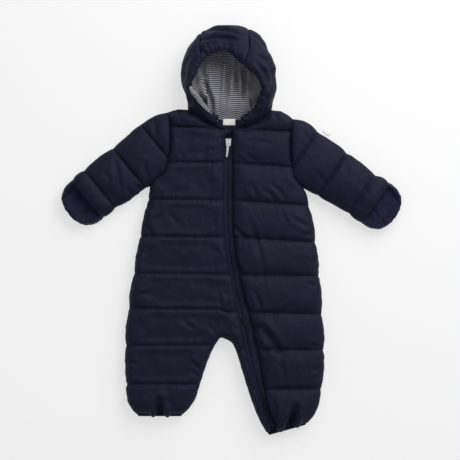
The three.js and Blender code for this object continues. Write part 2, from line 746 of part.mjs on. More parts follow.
// By angle from the crown, positive to the wearer's left: the outer radius, the radius and height of the face edge.
const HOOD_SECTIONS = [
  { angle: -163, outer: 72, face: 59, high: 34 },
  { angle: -146, outer: 72, face: 56, high: 38 },
  { angle: -132, outer: 74, face: 53, high: 43 },
  { angle: -118, outer: 77, face: 54, high: 50 },
  { angle: -104, outer: 76, face: 60, high: 58 },
  { angle: -90, outer: 80, face: 65, high: 62 },
  { angle: -74, outer: 83, face: 61, high: 64 },
  { angle: -58, outer: 89, face: 59, high: 65 },
  { angle: -40, outer: 97, face: 61, high: 65 },
  { angle: -20, outer: 101, face: 60, high: 64 },
  { angle: 0, outer: 102, face: 57, high: 63 },
  { angle: 18, outer: 101, face: 49, high: 64 },
  { angle: 36, outer: 96, face: 46, high: 66 },
  { angle: 54, outer: 87, face: 45, high: 67 },
  { angle: 72, outer: 82, face: 49, high: 66 },
  { angle: 90, outer: 80, face: 55, high: 64 },
  { angle: 104, outer: 80, face: 57, high: 59 },
  { angle: 118, outer: 80, face: 57, high: 51 },
  { angle: 132, outer: 79, face: 59, high: 44 },
  { angle: 146, outer: 78, face: 60, high: 38 },
  { angle: 161, outer: 74, face: 60, high: 34 },
];
// The wall's profile from under the head round to the face edge. `out` is 0 at the face edge's radius and 1 at the
// outer radius, `up` is the share of the face edge's height; the neck columns hold where it stands on the neckline.
const HOOD_PROFILE = [
  { out: -0.3, up: 0, neckOut: 0.3, neckUp: 0, wall: 8, neckWall: 2 },
  { out: 0.35, up: 0, neckOut: 0.7, neckUp: 0, wall: 8, neckWall: 2 },
  { out: 0.78, up: 0.07, neckOut: 0.94, neckUp: 0.08, wall: 8, neckWall: 3 },
  { out: 0.98, up: 0.28, neckOut: 1, neckUp: 0.28, wall: 8, neckWall: 4 },
  { out: 1, up: 0.47, neckOut: 0.98, neckUp: 0.48, wall: 8, neckWall: 4 },
  { out: 0.93, up: 0.63, neckOut: 0.92, neckUp: 0.64, wall: 7, neckWall: 4 },
  { out: 0.8, up: 0.76, neckOut: 0.82, neckUp: 0.76, wall: 5, neckWall: 3.5 },
  { out: 0.64, up: 0.94, neckOut: 0.66, neckUp: 0.9, wall: 7, neckWall: 4 },
  { out: 0.42, up: 0.94, neckOut: 0.46, neckUp: 0.94, wall: 4.5, neckWall: 3 },
  { out: 0.2, up: 1, neckOut: 0.22, neckUp: 1, wall: 4.5, neckWall: 3 },
  { out: 0, up: 0.92, neckOut: 0, neckUp: 0.94, wall: 2, neckWall: 2 },
];
const HOOD_SEAMS = {
  right: [[-51, 370], [-50, 300], [-43, 230], [-43, 150]],
  left: [[40, 370], [30, 290], [41, 230], [41, 150]],
};

// The wall's profile at an angle as [radius, height] points, moved into the hood by a depth counted from the outer
// face in walls and millimetres.
function hoodProfile({ angle, outer, face, high }, walls, extra) {
  const onNeck = smoothstep(106, 126, Math.abs(angle));
  const points = HOOD_PROFILE.map((row) => {
    const out = THREE.MathUtils.lerp(row.out, row.neckOut, onNeck);
    const free = row.up * high;
    const stood = HOOD.neckBase + row.neckUp * (high - HOOD.neckBase);
    return [face + out * (outer - face), THREE.MathUtils.lerp(free, stood, onNeck)];
  });
  const slim = Math.min(1, (outer - face) / HOOD.fullWall);
  return points.map(([radius, z], i) => {
    const [before, after] = [points[Math.max(i - 1, 0)], points[Math.min(i + 1, points.length - 1)]];
    const [dr, dz] = [after[0] - before[0], after[1] - before[1]];
    const wall = THREE.MathUtils.lerp(HOOD_PROFILE[i].wall, HOOD_PROFILE[i].neckWall, onNeck) * slim;
    const depth = (wall * walls + extra) / Math.hypot(dr, dz);
    return [radius - dz * depth, z + dr * depth];
  });
}

function hoodWall(walls, extra, thickness) {
  return loft(
    HOOD_SECTIONS.map((section) => {
      const angle = THREE.MathUtils.degToRad(section.angle);
      const outside = hoodProfile(section, walls, extra);
      const inside = hoodProfile(section, 1, extra + thickness);
      const toward = [Math.sin(angle), Math.cos(angle)];
      return { at: HOOD.centre, toward, points: [...outside, ...inside.reverse()], wall: true };
    }),
  );
}

// The part that lies under the head, down to the nape's seam.
function hoodFloor(low, high, inset) {
  const inWall = HOOD_SECTIONS.filter(({ angle }) => Math.abs(angle) <= 104).map(({ angle, outer, face }) => {
    const radius = face + 0.3 * (outer - face) - inset;
    const turn = THREE.MathUtils.degToRad(angle);
    return [HOOD.centre[0] + radius * Math.sin(turn), HOOD.centre[1] + radius * Math.cos(turn)];
  });
  const nape = HOOD.napeY + SEAM_GAP + inset;
  return prism([...inWall, [HOOD.napeHalf, nape], [-HOOD.napeHalf, nape]], low, high);
}

const cutter = (outline) => prism(outline, -10, 120);
const [SEAM_RIGHT, SEAM_LEFT] = [HOOD_SEAMS.right, HOOD_SEAMS.left];
const shifted = (line, by) => line.map(([x, y]) => [x + by, y]);

// The space of the centre panel, grown by a margin. The collar over the throat belongs to the side panels.
function hoodMiddle(margin) {
  const strip = cutter([...shifted(SEAM_RIGHT, -margin), ...shifted(SEAM_LEFT, margin).reverse()]);
  const throat = HOOD.throat;
  return strip.subtract(box([-70, 70], [100, throat.y - margin], [throat.z + margin, 130]));
}

function hoodPanels() {
  const half = SEAM_GAP / 2 + 0.05;
  const shell = hoodWall(0, 0, 0).add(hoodFloor(0, HOOD.floor, 0));
  const sides = shell.subtract(hoodMiddle(half));
  return {
    center: shell.intersect(hoodMiddle(-half)),
    side_right: sides.intersect(box([-150, 0], [100, 400], [-10, 130])),
    side_left: sides.intersect(box([0, 150], [100, 400], [-10, 130])),
  };
}

function hoodLining() {
  const top = HOOD.floor + SEAM_GAP;
  const cloth = hoodWall(1, HOOD.liningGap, HOOD.lining).add(hoodFloor(top, top + HOOD.lining, 6));
  return cloth.subtract(hoodFloor(-1, top, -SEAM_GAP)).subtract(hoodWall(0, 0, SEAM_GAP));
}

// ---------------------------------------------------------------- assembly
const FINISHES = {
  shell: { color: 0x1f1f2d, roughness: 0.6, metalness: 0 },
  brushed: { color: 0x26263e, roughness: 0.9, metalness: 0 },
  jersey: { color: 0x8f93a8, roughness: 0.9, metalness: 0 },
  tape: { color: 0x171825, roughness: 0.8, metalness: 0 },
  coil: { color: 0x14151f, roughness: 0.4, metalness: 0 },
  silver: { color: 0xc9ccd2, roughness: 0.35, metalness: 0.9 },
  enamel: { color: 0x1b1c2b, roughness: 0.3, metalness: 0.4 },
  satin: { color: 0xe9e7e0, roughness: 0.5, metalness: 0 },
};
const group = new THREE.Group();

function add(name, made, finish) {
  const geometry = made.isBufferGeometry ? made : geometryOf(made);
  const mesh = new THREE.Mesh(geometry, new THREE.MeshStandardMaterial(FINISHES[finish]));
  mesh.name = name;
  group.add(mesh);
}

function sleeveTab() {
  const corner = (along, across) => sleevePlace(SLEEVES.left, PATCH.along[along], PATCH.across[across]);
  const outline = [corner(0, 0), corner(1, 0), corner(1, 1), corner(0, 1)];
  return prism(outline, PATCH.low, PATCH.low + PATCH.thick);
}

add("front_right", frontRight(), "shell");
add("front_left", frontLeft(), "shell");
for (const side of ["right", "left"]) {
  add(`back_${side}`, backHalf(side), "shell");
  add(`hem_${side}`, hem(side), "shell");
  add(`sleeve_${side}`, sleeve(side), "shell");
  add(`mitt_${side}`, mitt(side), "shell");
  add(`mitt_lining_${side}`, mittLining(side), "brushed");
  add(`zip_tape_${side}`, zipTape(side).subtract(postSpace(SLIDERS.top)).subtract(postSpace(SLIDERS.low)), "tape");
}
for (const [name, panel] of Object.entries(hoodPanels())) add(`hood_${name}`, panel, "shell");
add("hood_lining", hoodLining(), "jersey");
add("zip_coil", zipCoil().subtract(postSpace(SLIDERS.low)), "coil");
add("slider_top", onZip(slider(), SLIDERS.top), "silver");
add("slider_low", onZip(slider(), SLIDERS.low), "enamel");
add("pull_top", pull(SLIDERS.top), "silver");
add("pull_low", pull(SLIDERS.low), "enamel");
add("neck_label", box(LABEL.x, LABEL.y, [BACK.top + SEAM_GAP, BACK.top + SEAM_GAP + LABEL.thick]), "satin");
add("sleeve_tab", sleeveTab(), "satin");

// The origin goes under the middle of the bounding box.
const centre = new THREE.Box3().setFromObject(group).getCenter(new THREE.Vector3());
group.position.set(-centre.x, -centre.y, 0);

export default group;
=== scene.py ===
"""The looks of a padded baby snowsuit that lies flat on its back: quilted cloth, hood, mitts and two-way zip.

Tables are in millimetres, in the pattern's own frame: +X to the wearer's left, +Y to the hood and +Z up.
Tailor.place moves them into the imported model's frame and turns them into metres.
"""

import logging
import math
from dataclasses import dataclass, field
from enum import Enum
from typing import Callable, ClassVar, Sequence

import bmesh
import bpy
import numpy as np
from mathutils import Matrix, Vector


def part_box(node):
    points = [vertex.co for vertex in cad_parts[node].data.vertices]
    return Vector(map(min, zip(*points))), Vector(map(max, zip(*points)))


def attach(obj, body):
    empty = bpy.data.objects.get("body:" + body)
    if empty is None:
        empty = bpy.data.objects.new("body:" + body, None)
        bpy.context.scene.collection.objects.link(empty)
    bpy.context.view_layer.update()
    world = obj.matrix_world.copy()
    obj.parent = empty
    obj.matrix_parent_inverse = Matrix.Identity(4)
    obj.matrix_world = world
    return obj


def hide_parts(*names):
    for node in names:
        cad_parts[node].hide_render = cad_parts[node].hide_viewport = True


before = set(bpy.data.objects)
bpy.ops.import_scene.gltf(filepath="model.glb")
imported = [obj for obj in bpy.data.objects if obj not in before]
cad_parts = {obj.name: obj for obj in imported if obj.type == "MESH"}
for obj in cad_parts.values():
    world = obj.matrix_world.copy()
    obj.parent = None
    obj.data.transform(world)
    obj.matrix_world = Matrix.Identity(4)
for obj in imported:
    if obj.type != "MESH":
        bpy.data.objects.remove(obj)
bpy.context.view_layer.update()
LOG = logging.getLogger("snowsuit")
MM = 0.001
# Points nearer than MERGED, in metres, are one. Edges shorter than SLIVER are taken out.
MERGED = 0.00002
SLIVER = 0.00001
Array = np.ndarray


class Side(Enum):
    """A wearer's side, with its sign along X."""

    RIGHT = -1
    LEFT = 1

    @property
    def word(self) -> str:
        """The side's name as the nodes have it."""
        return self.name.lower()


def table(columns: str, *rows: Sequence[float]) -> dict[str, Array]:
    """Makes a table with named columns.

    Args:
        columns: the names of the columns, with spaces between them.
        rows: one tuple for each row.

    Returns:
        each column's values by its name.
    """
    return {name: np.array([row[i] for row in rows], float) for i, name in enumerate(columns.split())}


# ---------------------------------------------------------------- pattern
# Rows are counted in quilting lines, from 0 at the neck to LAST_LINE at the legs' ends.
LABEL_CORNER = (-12.0, 178.8)
LAST_LINE = 9.0
CROTCH_LINE = 6.78
CHANNEL = 63.0
LINES = table(
    "line right middle left",
    (0, 206, 205, 203), (1, 176, 173, 167), (2, 115, 114, 106), (3, 52, 50, 41), (4, -11, -13, -21),
    (5, -74, -77, -79), (6, -134, -141, -144), (7, -197, -204, -205), (8, -263, -272, -271),
    (9, -315, -343, -330),
)
RIGHT_SIDE = table(
    "y x",
    (206, -88), (203, -96), (197, -104), (152, -103), (119, -107), (99, -112), (88, -124), (83, -134),
    (52, -141),
    (-11, -155), (-74, -166), (-134, -175), (-197, -180), (-263, -179), (-288, -176), (-306, -168),
    (-315, -160),
)
LEFT_SIDE = table(
    "y x",
    (203, 86), (196, 98), (186, 108), (166, 105), (133, 105), (92, 110), (78, 119), (69, 128), (41, 137),
    (-21, 148), (-79, 154), (-144, 159), (-205, 162), (-271, 158), (-300, 151), (-317, 144), (-330, 132),
)
ARMPIT = {Side.RIGHT: 83.0, Side.LEFT: 69.0}
RIGHT_INSEAM = table(
    "y x", (-184, -16), (-194, -24), (-224, -38), (-263, -51), (-288, -59), (-306, -71), (-315, -80)
)
LEFT_INSEAM = table(
    "y x", (-184, -4), (-194, 4), (-204, 9), (-255, 25), (-286, 35), (-306, 43), (-326, 53), (-347, 66)
)
ZIP_LINE = table(
    "y x half coil",
    (206, 3, 0.3, -2.7), (166, 3, 0.3, -2.7), (157, -2.7, 6, -2.7), (22, -2.7, 6, -2.7), (-26, 1, 6, 0.5),
    (-92, 12, 6.3, 10.5), (-155, 27, 7.9, 25), (-218, 40, 8.7, 38), (-277, 53, 5.5, 53), (-309, 63, 4, 63),
    (-347, 77, 3.4, 77),
)
RIGHT_NECK = table("y x", (206, -70), (192, -52), (181, -36), (173, 2.7))
LEFT_NECK = table("y x", (205, 70), (190, 58), (179, 38), (173, 3.3))
BACK_NECK = table("y x", (206, 70), (196, 60), (190, 40))
HEM_SKEW = 4.3
SEAM_Z = 13.3
BACK_TOP = 13.0


def smooth(xs: Array, ys: Array) -> Callable[[Array], Array]:
    """A smooth curve through points, with no overshoot.

    Args:
        xs: where the points are, in any order.
        ys: the points' values.

    Returns:
        a function that gives the curve's values at an array of places.
    """
    order = np.argsort(xs)
    xs, ys = np.asarray(xs, float)[order], np.asarray(ys, float)[order]
    slope = np.diff(ys) / np.diff(xs)
    before, after = np.r_[slope[0], slope], np.r_[slope, slope[-1]]
    product = before * after
    total = np.where(np.abs(before + after) < 1e-12, 1, before + after)
    tangent = np.where(product <= 0, 0, 2 * product / total)

    def at(places: Array) -> Array:
        """Values of the curve at an array of places."""
        x = np.clip(places, xs[0], xs[-1])
        i = np.clip(np.searchsorted(xs, x) - 1, 0, len(xs) - 2)
        width = xs[i + 1] - xs[i]
        t = (x - xs[i]) / width
        first = ys[i] * (2 * t**3 - 3 * t**2 + 1) + tangent[i] * width * (t**3 - 2 * t**2 + t)
        return first + ys[i + 1] * (3 * t**2 - 2 * t**3) + tangent[i + 1] * width * (t**3 - t**2)

    return at


def step(low: float, high: float, at: Array) -> Array:
    """A soft step from 0 at low to 1 at high; low may be the larger."""
    t = np.clip((np.asarray(at, float) - low) / (high - low), 0, 1)
    return t * t * (3 - 2 * t)


def mix(a: Array, b: Array, share: Array) -> Array:
    """The value that lies a share of the way from a to b."""
    return a + (b - a) * share


def rounded(distance: Array, width: float) -> Array:
    """Share of the full height at a distance from an edge that is rounded off over a width."""
    return np.sqrt(1 - (1 - np.clip(distance / width, 0, 1)) ** 2)


def puff(line: Array, power: float = 0.6) -> Array:
    """Share of a channel's puff, 0 on a quilting line and 1 in the channel's middle."""
    return np.abs(np.sin(np.pi * line)) ** power


class Grain:
    """Smooth noise on a lattice of seeded numbers, from -1 to 1."""

    SIZE = 64

    def __init__(self, seed: int) -> None:
        """Draws the lattice.

        Args:
            seed: the seed of the lattice's numbers.
        """
        self.lattice = np.random.default_rng(seed).uniform(-1, 1, (self.SIZE, self.SIZE))

    def at(self, u: Array, v: Array) -> Array:
        """Noise at places that are counted in lattice cells."""
        u, v = np.broadcast_arrays(np.asarray(u, float), np.asarray(v, float))
        i, j = np.floor(u).astype(int), np.floor(v).astype(int)
        s, t = u - i, v - j
        s, t = s * s * (3 - 2 * s), t * t * (3 - 2 * t)
        size = self.SIZE
        corner = [[self.lattice[(i + a) % size, (j + b) % size] for b in (0, 1)] for a in (0, 1)]
        return mix(mix(corner[0][0], corner[1][0], s), mix(corner[0][1], corner[1][1], s), t)

    def layers(self, u: Array, v: Array, count: int = 3) -> Array:
        """Noise with finer layers added, each at half the size and half the strength."""
        return sum(self.at(u * 2**k + 17 * k, v * 2**k + 5 * k) / 2**k for k in range(count))


zip_x = smooth(ZIP_LINE["y"], ZIP_LINE["x"])
zip_half = smooth(ZIP_LINE["y"], ZIP_LINE["half"])
coil_x = smooth(ZIP_LINE["y"], ZIP_LINE["coil"])
side_x = {
    Side.RIGHT: smooth(RIGHT_SIDE["y"], RIGHT_SIDE["x"]),
    Side.LEFT: smooth(LEFT_SIDE["y"], LEFT_SIDE["x"]),
}
inseam_x = {
    Side.RIGHT: smooth(RIGHT_INSEAM["y"], RIGHT_INSEAM["x"]),
    Side.LEFT: smooth(LEFT_INSEAM["y"], LEFT_INSEAM["x"]),
}
neck_x = {
    Side.RIGHT: smooth(RIGHT_NECK["y"], RIGHT_NECK["x"]),
    Side.LEFT: smooth(LEFT_NECK["y"], LEFT_NECK["x"]),
}
back_neck_x = smooth(BACK_NECK["y"], BACK_NECK["x"])
line_y = {
    Side.RIGHT: smooth(LINES["line"], LINES["right"]),
    Side.LEFT: smooth(LINES["line"], LINES["left"]),
    None: smooth(LINES["line"], LINES["middle"]),
}


def side_point(side: Side, line: Array) -> Array:
    """Points of the outline where rows meet the side, drawn in at the quilting lines below the armpit.

    Args:
        side: the wearer's side.
        line: the rows.

    Returns:
        the points' x and y.
    """
    y = line_y[side](line)
    inner = step(0.0, 0.3, line) * step(LAST_LINE, LAST_LINE - 0.3, line)
    ripple = Grain(7 + side.value).at(y / 5.5, 0 * y) * 0.7 * inner
    scallop = np.where(y < ARMPIT[side], 2.8 * (1 - puff(line)) * inner + ripple, 0)
    return np.stack([side_x[side](y) - side.value * scallop, y], -1)


def zip_point(side: Side, line: Array) -> Array:
    """Points where rows meet the zip, or the neckline above it.

    Args:
        side: the wearer's side.
        line: the rows.

    Returns:
        the points' x and y.
    """
    y = line_y[None](line)
    x = np.where(line < 1, neck_x[side](y), zip_x(y) + side.value * zip_half(y))
    return np.stack([x, y], -1)


# ---------------------------------------------------------------- cloth grids
# The share of their tabled depth that the creases of fronts and sleeves get.
CREASE_SHARE = 0.6


@dataclass
class Crease:
    """A soft trough with raised lips: its points, half width, depth, and how much of the lips it has."""

    points: tuple[tuple[float, float], ...]
    width: float
    depth: float
    lips: float = 0.5
    CRISP: ClassVar[float] = 0.72

    def height(self, x: Array, y: Array) -> Array:
        """How far the crease lowers or raises the cloth at plan places.

        Args:
            x: the places along X.
            y: the places along Y.

        Returns:
            millimetres, below 0 in the trough.
        """
        ends = np.array(self.points, float)
        lengths = np.hypot(*np.diff(ends, axis=0).T)
        total, start = lengths.sum(), np.r_[0, np.cumsum(lengths)]
        best, along = np.full(np.shape(x), 1e9), np.zeros(np.shape(x))
        for k, (a, b) in enumerate(zip(ends[:-1], ends[1:])):
            way = (b - a) / lengths[k]
            t = np.clip((x - a[0]) * way[0] + (y - a[1]) * way[1], 0, lengths[k])
            gap = np.hypot(x - a[0] - way[0] * t, y - a[1] - way[1] * t)
            along = np.where(gap < best, start[k] + t, along)
            best = np.minimum(best, gap)
        taper = np.sin(np.pi * np.clip(along / total, 0.04, 0.96)) ** 0.6
        width = self.CRISP * self.width
        trough = -np.exp(-((best / width) ** 2))
        lips = self.lips * np.exp(-(((best - 2.1 * width) / (1.1 * width)) ** 2))
        return self.depth * taper * (trough + lips)


def creased(creases: Sequence[Crease]) -> Callable[..., Array]:
    """Makes a height for Tailor.press out of listed creases.

    Args:
        creases: the creases, in pattern millimetres.

    Returns:
        a function of x, y, z, the normals and the trait face.
    """

    def height(x: Array, y: Array, z: Array, normals: Array, face: Array) -> Array:
        """Millimetres to move each point out."""
        return CREASE_SHARE * face * sum(crease.height(x, y) for crease in creases)

    return height


@dataclass
class Cloth:
    """A grid of cloth.

    Its points are (rows, columns, 3). With them go which cells exist, which points are sewn down, each
    point's quilting line and distance from the edge, and its place on the flat cloth.
    """

    points: Array
    cells: Array
    sewn: Array
    line: Array
    brim: Array
    uv: Array

    def quads(self) -> Array:
        """The cells as rows of four point numbers."""
        count = self.points.shape[1]
        i, j = np.nonzero(self.cells)
        first = i * count + j
        return np.stack([first, first + 1, first + count + 1, first + count], -1)


class Tailor:
    """Turns grids into finished Blender pieces."""

    def __init__(self) -> None:
        """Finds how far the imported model's frame is from the pattern's."""
        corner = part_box("neck_label")[0]
        self.shift = np.array([corner.x / MM - LABEL_CORNER[0], corner.y / MM - LABEL_CORNER[1], 0.0])

    def place(self, points: Array) -> Array:
        """Pattern millimetres as metres in the model's frame."""
        return (np.asarray(points, float) + self.shift) * MM

    def mesh(
        self,
        name: str,
        points: Array,
        faces: Sequence[Sequence[int]],
        uv: Array | None = None,
        **traits: Array,
    ) -> bpy.types.Object:
        """Makes an object from points and faces.

        Args:
            name: the piece's name.
            points: the points, in pattern millimetres.
            faces: lists of point numbers.
            uv: a place on the cloth for each point, in metres.
            traits: more numbers for each point, by name.

        Returns:
            the new object, with doubles merged and smooth faces.
        """
        data = bpy.data.meshes.new(name)
        data.from_pydata(self.place(points).tolist(), [], [list(map(int, f)) for f in faces])
        for key, values in traits.items():
            trait = data.attributes.new(key, "FLOAT", "POINT")
            trait.data.foreach_set("value", np.asarray(values, np.float32))
        if uv is not None:
            corners = np.zeros(len(data.loops), np.int32)
            data.loops.foreach_get("vertex_index", corners)
            layer = data.uv_layers.new(name="cloth")
            layer.data.foreach_set("uv", np.asarray(uv, np.float32)[corners].ravel())
        bm = bmesh.new()
        bm.from_mesh(data)
        bmesh.ops.delete(bm, geom=[v for v in bm.verts if not v.link_faces], context="VERTS")
        bmesh.ops.remove_doubles(bm, verts=bm.verts, dist=MERGED)
        bmesh.ops.dissolve_degenerate(bm, edges=bm.edges, dist=SLIVER)
        for face in bm.faces:
            face.smooth = True
        bm.to_mesh(data)
        bm.free()
        piece = bpy.data.objects.new(name, data)
        bpy.context.scene.collection.objects.link(piece)
        return piece

    def bake(self, piece: bpy.types.Object) -> bpy.types.Object:
        """Applies a piece's modifiers."""
        graph = bpy.context.evaluated_depsgraph_get()
        shown = piece.evaluated_get(graph)
        data = bpy.data.meshes.new_from_object(shown, preserve_all_data_layers=True, depsgraph=graph)
        piece.modifiers.clear()
        piece.data = data
        return piece

    def refine(self, piece: bpy.types.Object, levels: int = 1) -> bpy.types.Object:
        """Adds a subdivision and applies it."""
        modifier = piece.modifiers.new("fine", "SUBSURF")
        modifier.levels = modifier.render_levels = levels
        modifier.boundary_smooth = "PRESERVE_CORNERS"
        return self.bake(piece)

    def outward(self, piece: bpy.types.Object) -> None:
        """Turns a closed piece's faces outwards."""
        bm = bmesh.new()
        bm.from_mesh(piece.data)
        bmesh.ops.recalc_face_normals(bm, faces=bm.faces)
        if bm.calc_volume(signed=True) < 0:
            bmesh.ops.reverse_faces(bm, faces=bm.faces)
        bm.to_mesh(piece.data)
        bm.free()

    def press(self, piece: bpy.types.Object, height: Callable[..., Array], *traits: str) -> None:
        """Moves a piece's points along their normals.

        Args:
            piece: the piece.
            height: takes x, y, z in pattern millimetres, the normals and the named traits.
                It gives millimetres.
            traits: the point traits that height takes.
        """
        data = piece.data
        count = len(data.vertices)
        flat, normals = np.zeros(count * 3), np.zeros(count * 3, np.float32)
        data.vertices.foreach_get("co", flat)
        data.vertex_normals.foreach_get("vector", normals)
        points, normals = flat.reshape(-1, 3), normals.reshape(-1, 3).astype(float)
        values = []
        for key in traits:
            held = np.zeros(count, np.float32)
            data.attributes[key].data.foreach_get("value", held)
            values.append(held.astype(float))
        pattern = points / MM - self.shift
        moved = height(pattern[:, 0], pattern[:, 1], pattern[:, 2], normals, *values)
        points += normals * (np.asarray(moved) * MM)[:, None]
        points[:, 2] = np.maximum(points[:, 2], 0.0)
        data.vertices.foreach_set("co", points.ravel())
        data.update()

    def pad(self, name: str, top: Cloth, under: Array) -> bpy.types.Object:
        """A closed pad between a shaped grid and its other face.

        Args:
            name: the piece's name.
            top: the shaped face.
            under: the other face's points, one for each point of the shaped one.

        Returns:
            the closed piece, with the traits line, brim and face, which is 1 on the shaped side.
        """
        points = top.points.reshape(-1, 3)
        count = len(points)
        quads = top.quads()
        edges = {}
        for quad in quads.tolist():
            for a, b in zip(quad, quad[1:] + quad[:1]):
                if edges.pop((b, a), None) is None:
                    edges[(a, b)] = True
        rim = [(b, a, a + count, b + count) for a, b in edges]
        faces = quads.tolist() + [[q + count for q in quad[::-1]] for quad in quads.tolist()] + rim
        uv = np.tile(top.uv.reshape(-1, 2), (2, 1))
        piece = self.mesh(
            name,
            np.concatenate([points, under.reshape(-1, 3)]),
            faces,
            uv,
            line=np.tile(top.line.ravel(), 2),
            brim=np.tile(top.brim.ravel(), 2),
            face=np.r_[np.ones(count), np.zeros(count)],
        )
        self.outward(piece)
        return piece


@dataclass
class Inflation:
    """Cloth that is cut larger than the frame it is sewn to, and pushed out by its filling.

    It works unevenly: the right front moves by millimetres and the left front hardly moves.
    """

    frames: int = 22
    quality: int = 6
    mass: float = 0.15
    stretch: float = 8.0
    shear: float = 3.0
    bending: float = 0.4
    damping: float = 8.0
    bending_damping: float = 0.8
    air: float = 2.0
    jobs: list[tuple[Cloth, bpy.types.Object, float]] = field(default_factory=list)

    def add(self, cloth: Cloth, cut: Array, pressure: float, cap: float) -> None:
        """Adds a grid to push out.

        Args:
            cloth: the grid, which gets its new points.
            cut: where the grid's points lie when the cloth is at its cut size.
            pressure: the filling's pressure.
            cap: how far a point may move, in millimetres.
        """
        data = bpy.data.meshes.new("blown")
        data.from_pydata((cloth.points.reshape(-1, 3) * MM).tolist(), [], cloth.quads().tolist())
        piece = bpy.data.objects.new("blown", data)
        bpy.context.scene.collection.objects.link(piece)
        piece.shape_key_add(name="sewn")
        key = piece.shape_key_add(name="cut")
        key.data.foreach_set("co", (cut.reshape(-1, 3) * MM).ravel())
        key.value = 0.0
        group = piece.vertex_groups.new(name="sewn")
        for weight in np.unique(cloth.sewn[cloth.sewn > 0]):
            group.add(np.nonzero(cloth.sewn.ravel() == weight)[0].tolist(), float(weight), "REPLACE")
        settings = piece.modifiers.new("cloth", "CLOTH").settings
        settings.vertex_group_mass = "sewn"
        settings.pin_stiffness = 1.0
        settings.rest_shape_key = key
        settings.quality = self.quality
        settings.mass = self.mass
        settings.tension_stiffness = settings.compression_stiffness = self.stretch
        settings.shear_stiffness = self.shear
        settings.bending_stiffness = self.bending
        settings.tension_damping = settings.compression_damping = self.damping
        settings.bending_damping = self.bending_damping
        settings.air_damping = self.air
        settings.use_pressure = True
        settings.uniform_pressure_force = pressure
        settings.effector_weights.gravity = 0
        self.jobs.append((cloth, piece, cap))

    def run(self) -> None:
        """Runs every grid at once and gives each its new points."""
        scene = bpy.context.scene
        for number in range(1, self.frames + 1):
            scene.frame_set(number)
        graph = bpy.context.evaluated_depsgraph_get()
        for cloth, piece, cap in self.jobs:
            held = np.zeros(len(piece.data.vertices) * 3)
            piece.evaluated_get(graph).data.vertices.foreach_get("co", held)
            move = held.reshape(cloth.points.shape) / MM - cloth.points
            size = np.linalg.norm(move, axis=-1, keepdims=True)
            limited = move * np.minimum(1, cap / np.maximum(size, 1e-6))
            cloth.points = cloth.points + np.where(np.isfinite(limited), limited, 0)
            mean, most = float(size.mean()), float(size.max())
            LOG.info("blown %s points, mean %.2f mm, most %.2f mm", size.size, mean, most)
            data = piece.data
            bpy.data.objects.remove(piece)
            bpy.data.meshes.remove(data)
        scene.frame_set(1)
        self.jobs = []


# ---------------------------------------------------------------- finishes
class Value:
    """A shader socket that takes part in arithmetic."""

    def __init__(self, tree: "Shader", socket: bpy.types.NodeSocket) -> None:
        """Wraps a socket of a shader's tree."""
        self.tree, self.socket = tree, socket

    def _math(self, kind: str, a: object, b: object) -> "Value":
        """A Math node over two numbers or sockets."""
        return self.tree.add("ShaderNodeMath", {"operation": kind}, {0: a, 1: b})

    def __add__(self, other: object) -> "Value":
        """self + other."""
        return self._math("ADD", self, other)

    def __sub__(self, other: object) -> "Value":
        """self - other."""
        return self._math("SUBTRACT", self, other)

    def __mul__(self, other: object) -> "Value":
        """self * other."""
        return self._math("MULTIPLY", self, other)

    def sine(self) -> "Value":
        """The sine of the value."""
        return self.tree.add("ShaderNodeMath", {"operation": "SINE"}, {0: self})

    def ramp(self, low: float, high: float) -> "Value":
        """A soft step of the value from 0 at low to 1 at high."""
        inputs = {"Value": self, "From Min": low, "From Max": high}
        return self.tree.add("ShaderNodeMapRange", {"interpolation_type": "SMOOTHSTEP"}, inputs)


class Shader:
    """A material under construction."""

    def __init__(self, name: str) -> None:
        """Starts an empty material with a Principled shader."""
        self.material = bpy.data.materials.new(name)
        self.material.use_nodes = True
        self.nodes, self.links = self.material.node_tree.nodes, self.material.node_tree.links
        self.surface = next(node for node in self.nodes if node.type == "BSDF_PRINCIPLED")

    def add(self, kind: str, settings: dict, inputs: dict, output: object = 0) -> Value:
        """Adds a node.

        Args:
            kind: the node's type.
            settings: its settings by name.
            inputs: what goes into its sockets.
            output: which output to give back.

        Returns:
            the output.
        """
        node = self.nodes.new(kind)
        for key, setting in settings.items():
            setattr(node, key, setting)
        for key, given in inputs.items():
            self.join(given, node.inputs[key])
        return Value(self, node.outputs[output])

    def join(self, given: object, socket: bpy.types.NodeSocket) -> None:
        """Links a value to a socket, or sets the socket to a plain number, vector or colour."""
        if isinstance(given, Value):
            self.links.new(given.socket, socket)
        else:
            socket.default_value = given

    def mixed(self, share: Value, a: object, b: object) -> Value:
        """A colour that goes from a to b."""
        return self.add("ShaderNodeMix", {"data_type": "RGBA"}, {0: share, 6: a, 7: b}, 2)

    def place(self) -> Value:
        """Object coordinates."""
        return self.add("ShaderNodeTexCoord", {}, {}, "Object")

    def cloth(self) -> Value:
        """The place on the flat cloth, in metres."""
        return self.add("ShaderNodeUVMap", {"uv_map": "cloth"}, {})

    def noise(self, at: Value, scale: float, detail: float = 3.0) -> Value:
        """Noise from 0 to 1."""
        return self.add("ShaderNodeTexNoise", {}, {"Vector": at, "Scale": scale, "Detail": detail})

    def bump(self, height: Value, distance: float, strength: float = 1.0) -> None:
        """Gives the surface a bump of a height of 0 to 1 over a distance in metres."""
        inputs = {"Height": height, "Distance": distance, "Strength": strength}
        self.join(self.add("ShaderNodeBump", {}, inputs), self.surface.inputs["Normal"])

    def finish(self, **inputs: object) -> bpy.types.Material:
        """Sets the shader's own sockets, with _ for a space in their names."""
        for key, given in inputs.items():
            self.join(given, self.surface.inputs[key.replace("_", " ")])
        return self.material


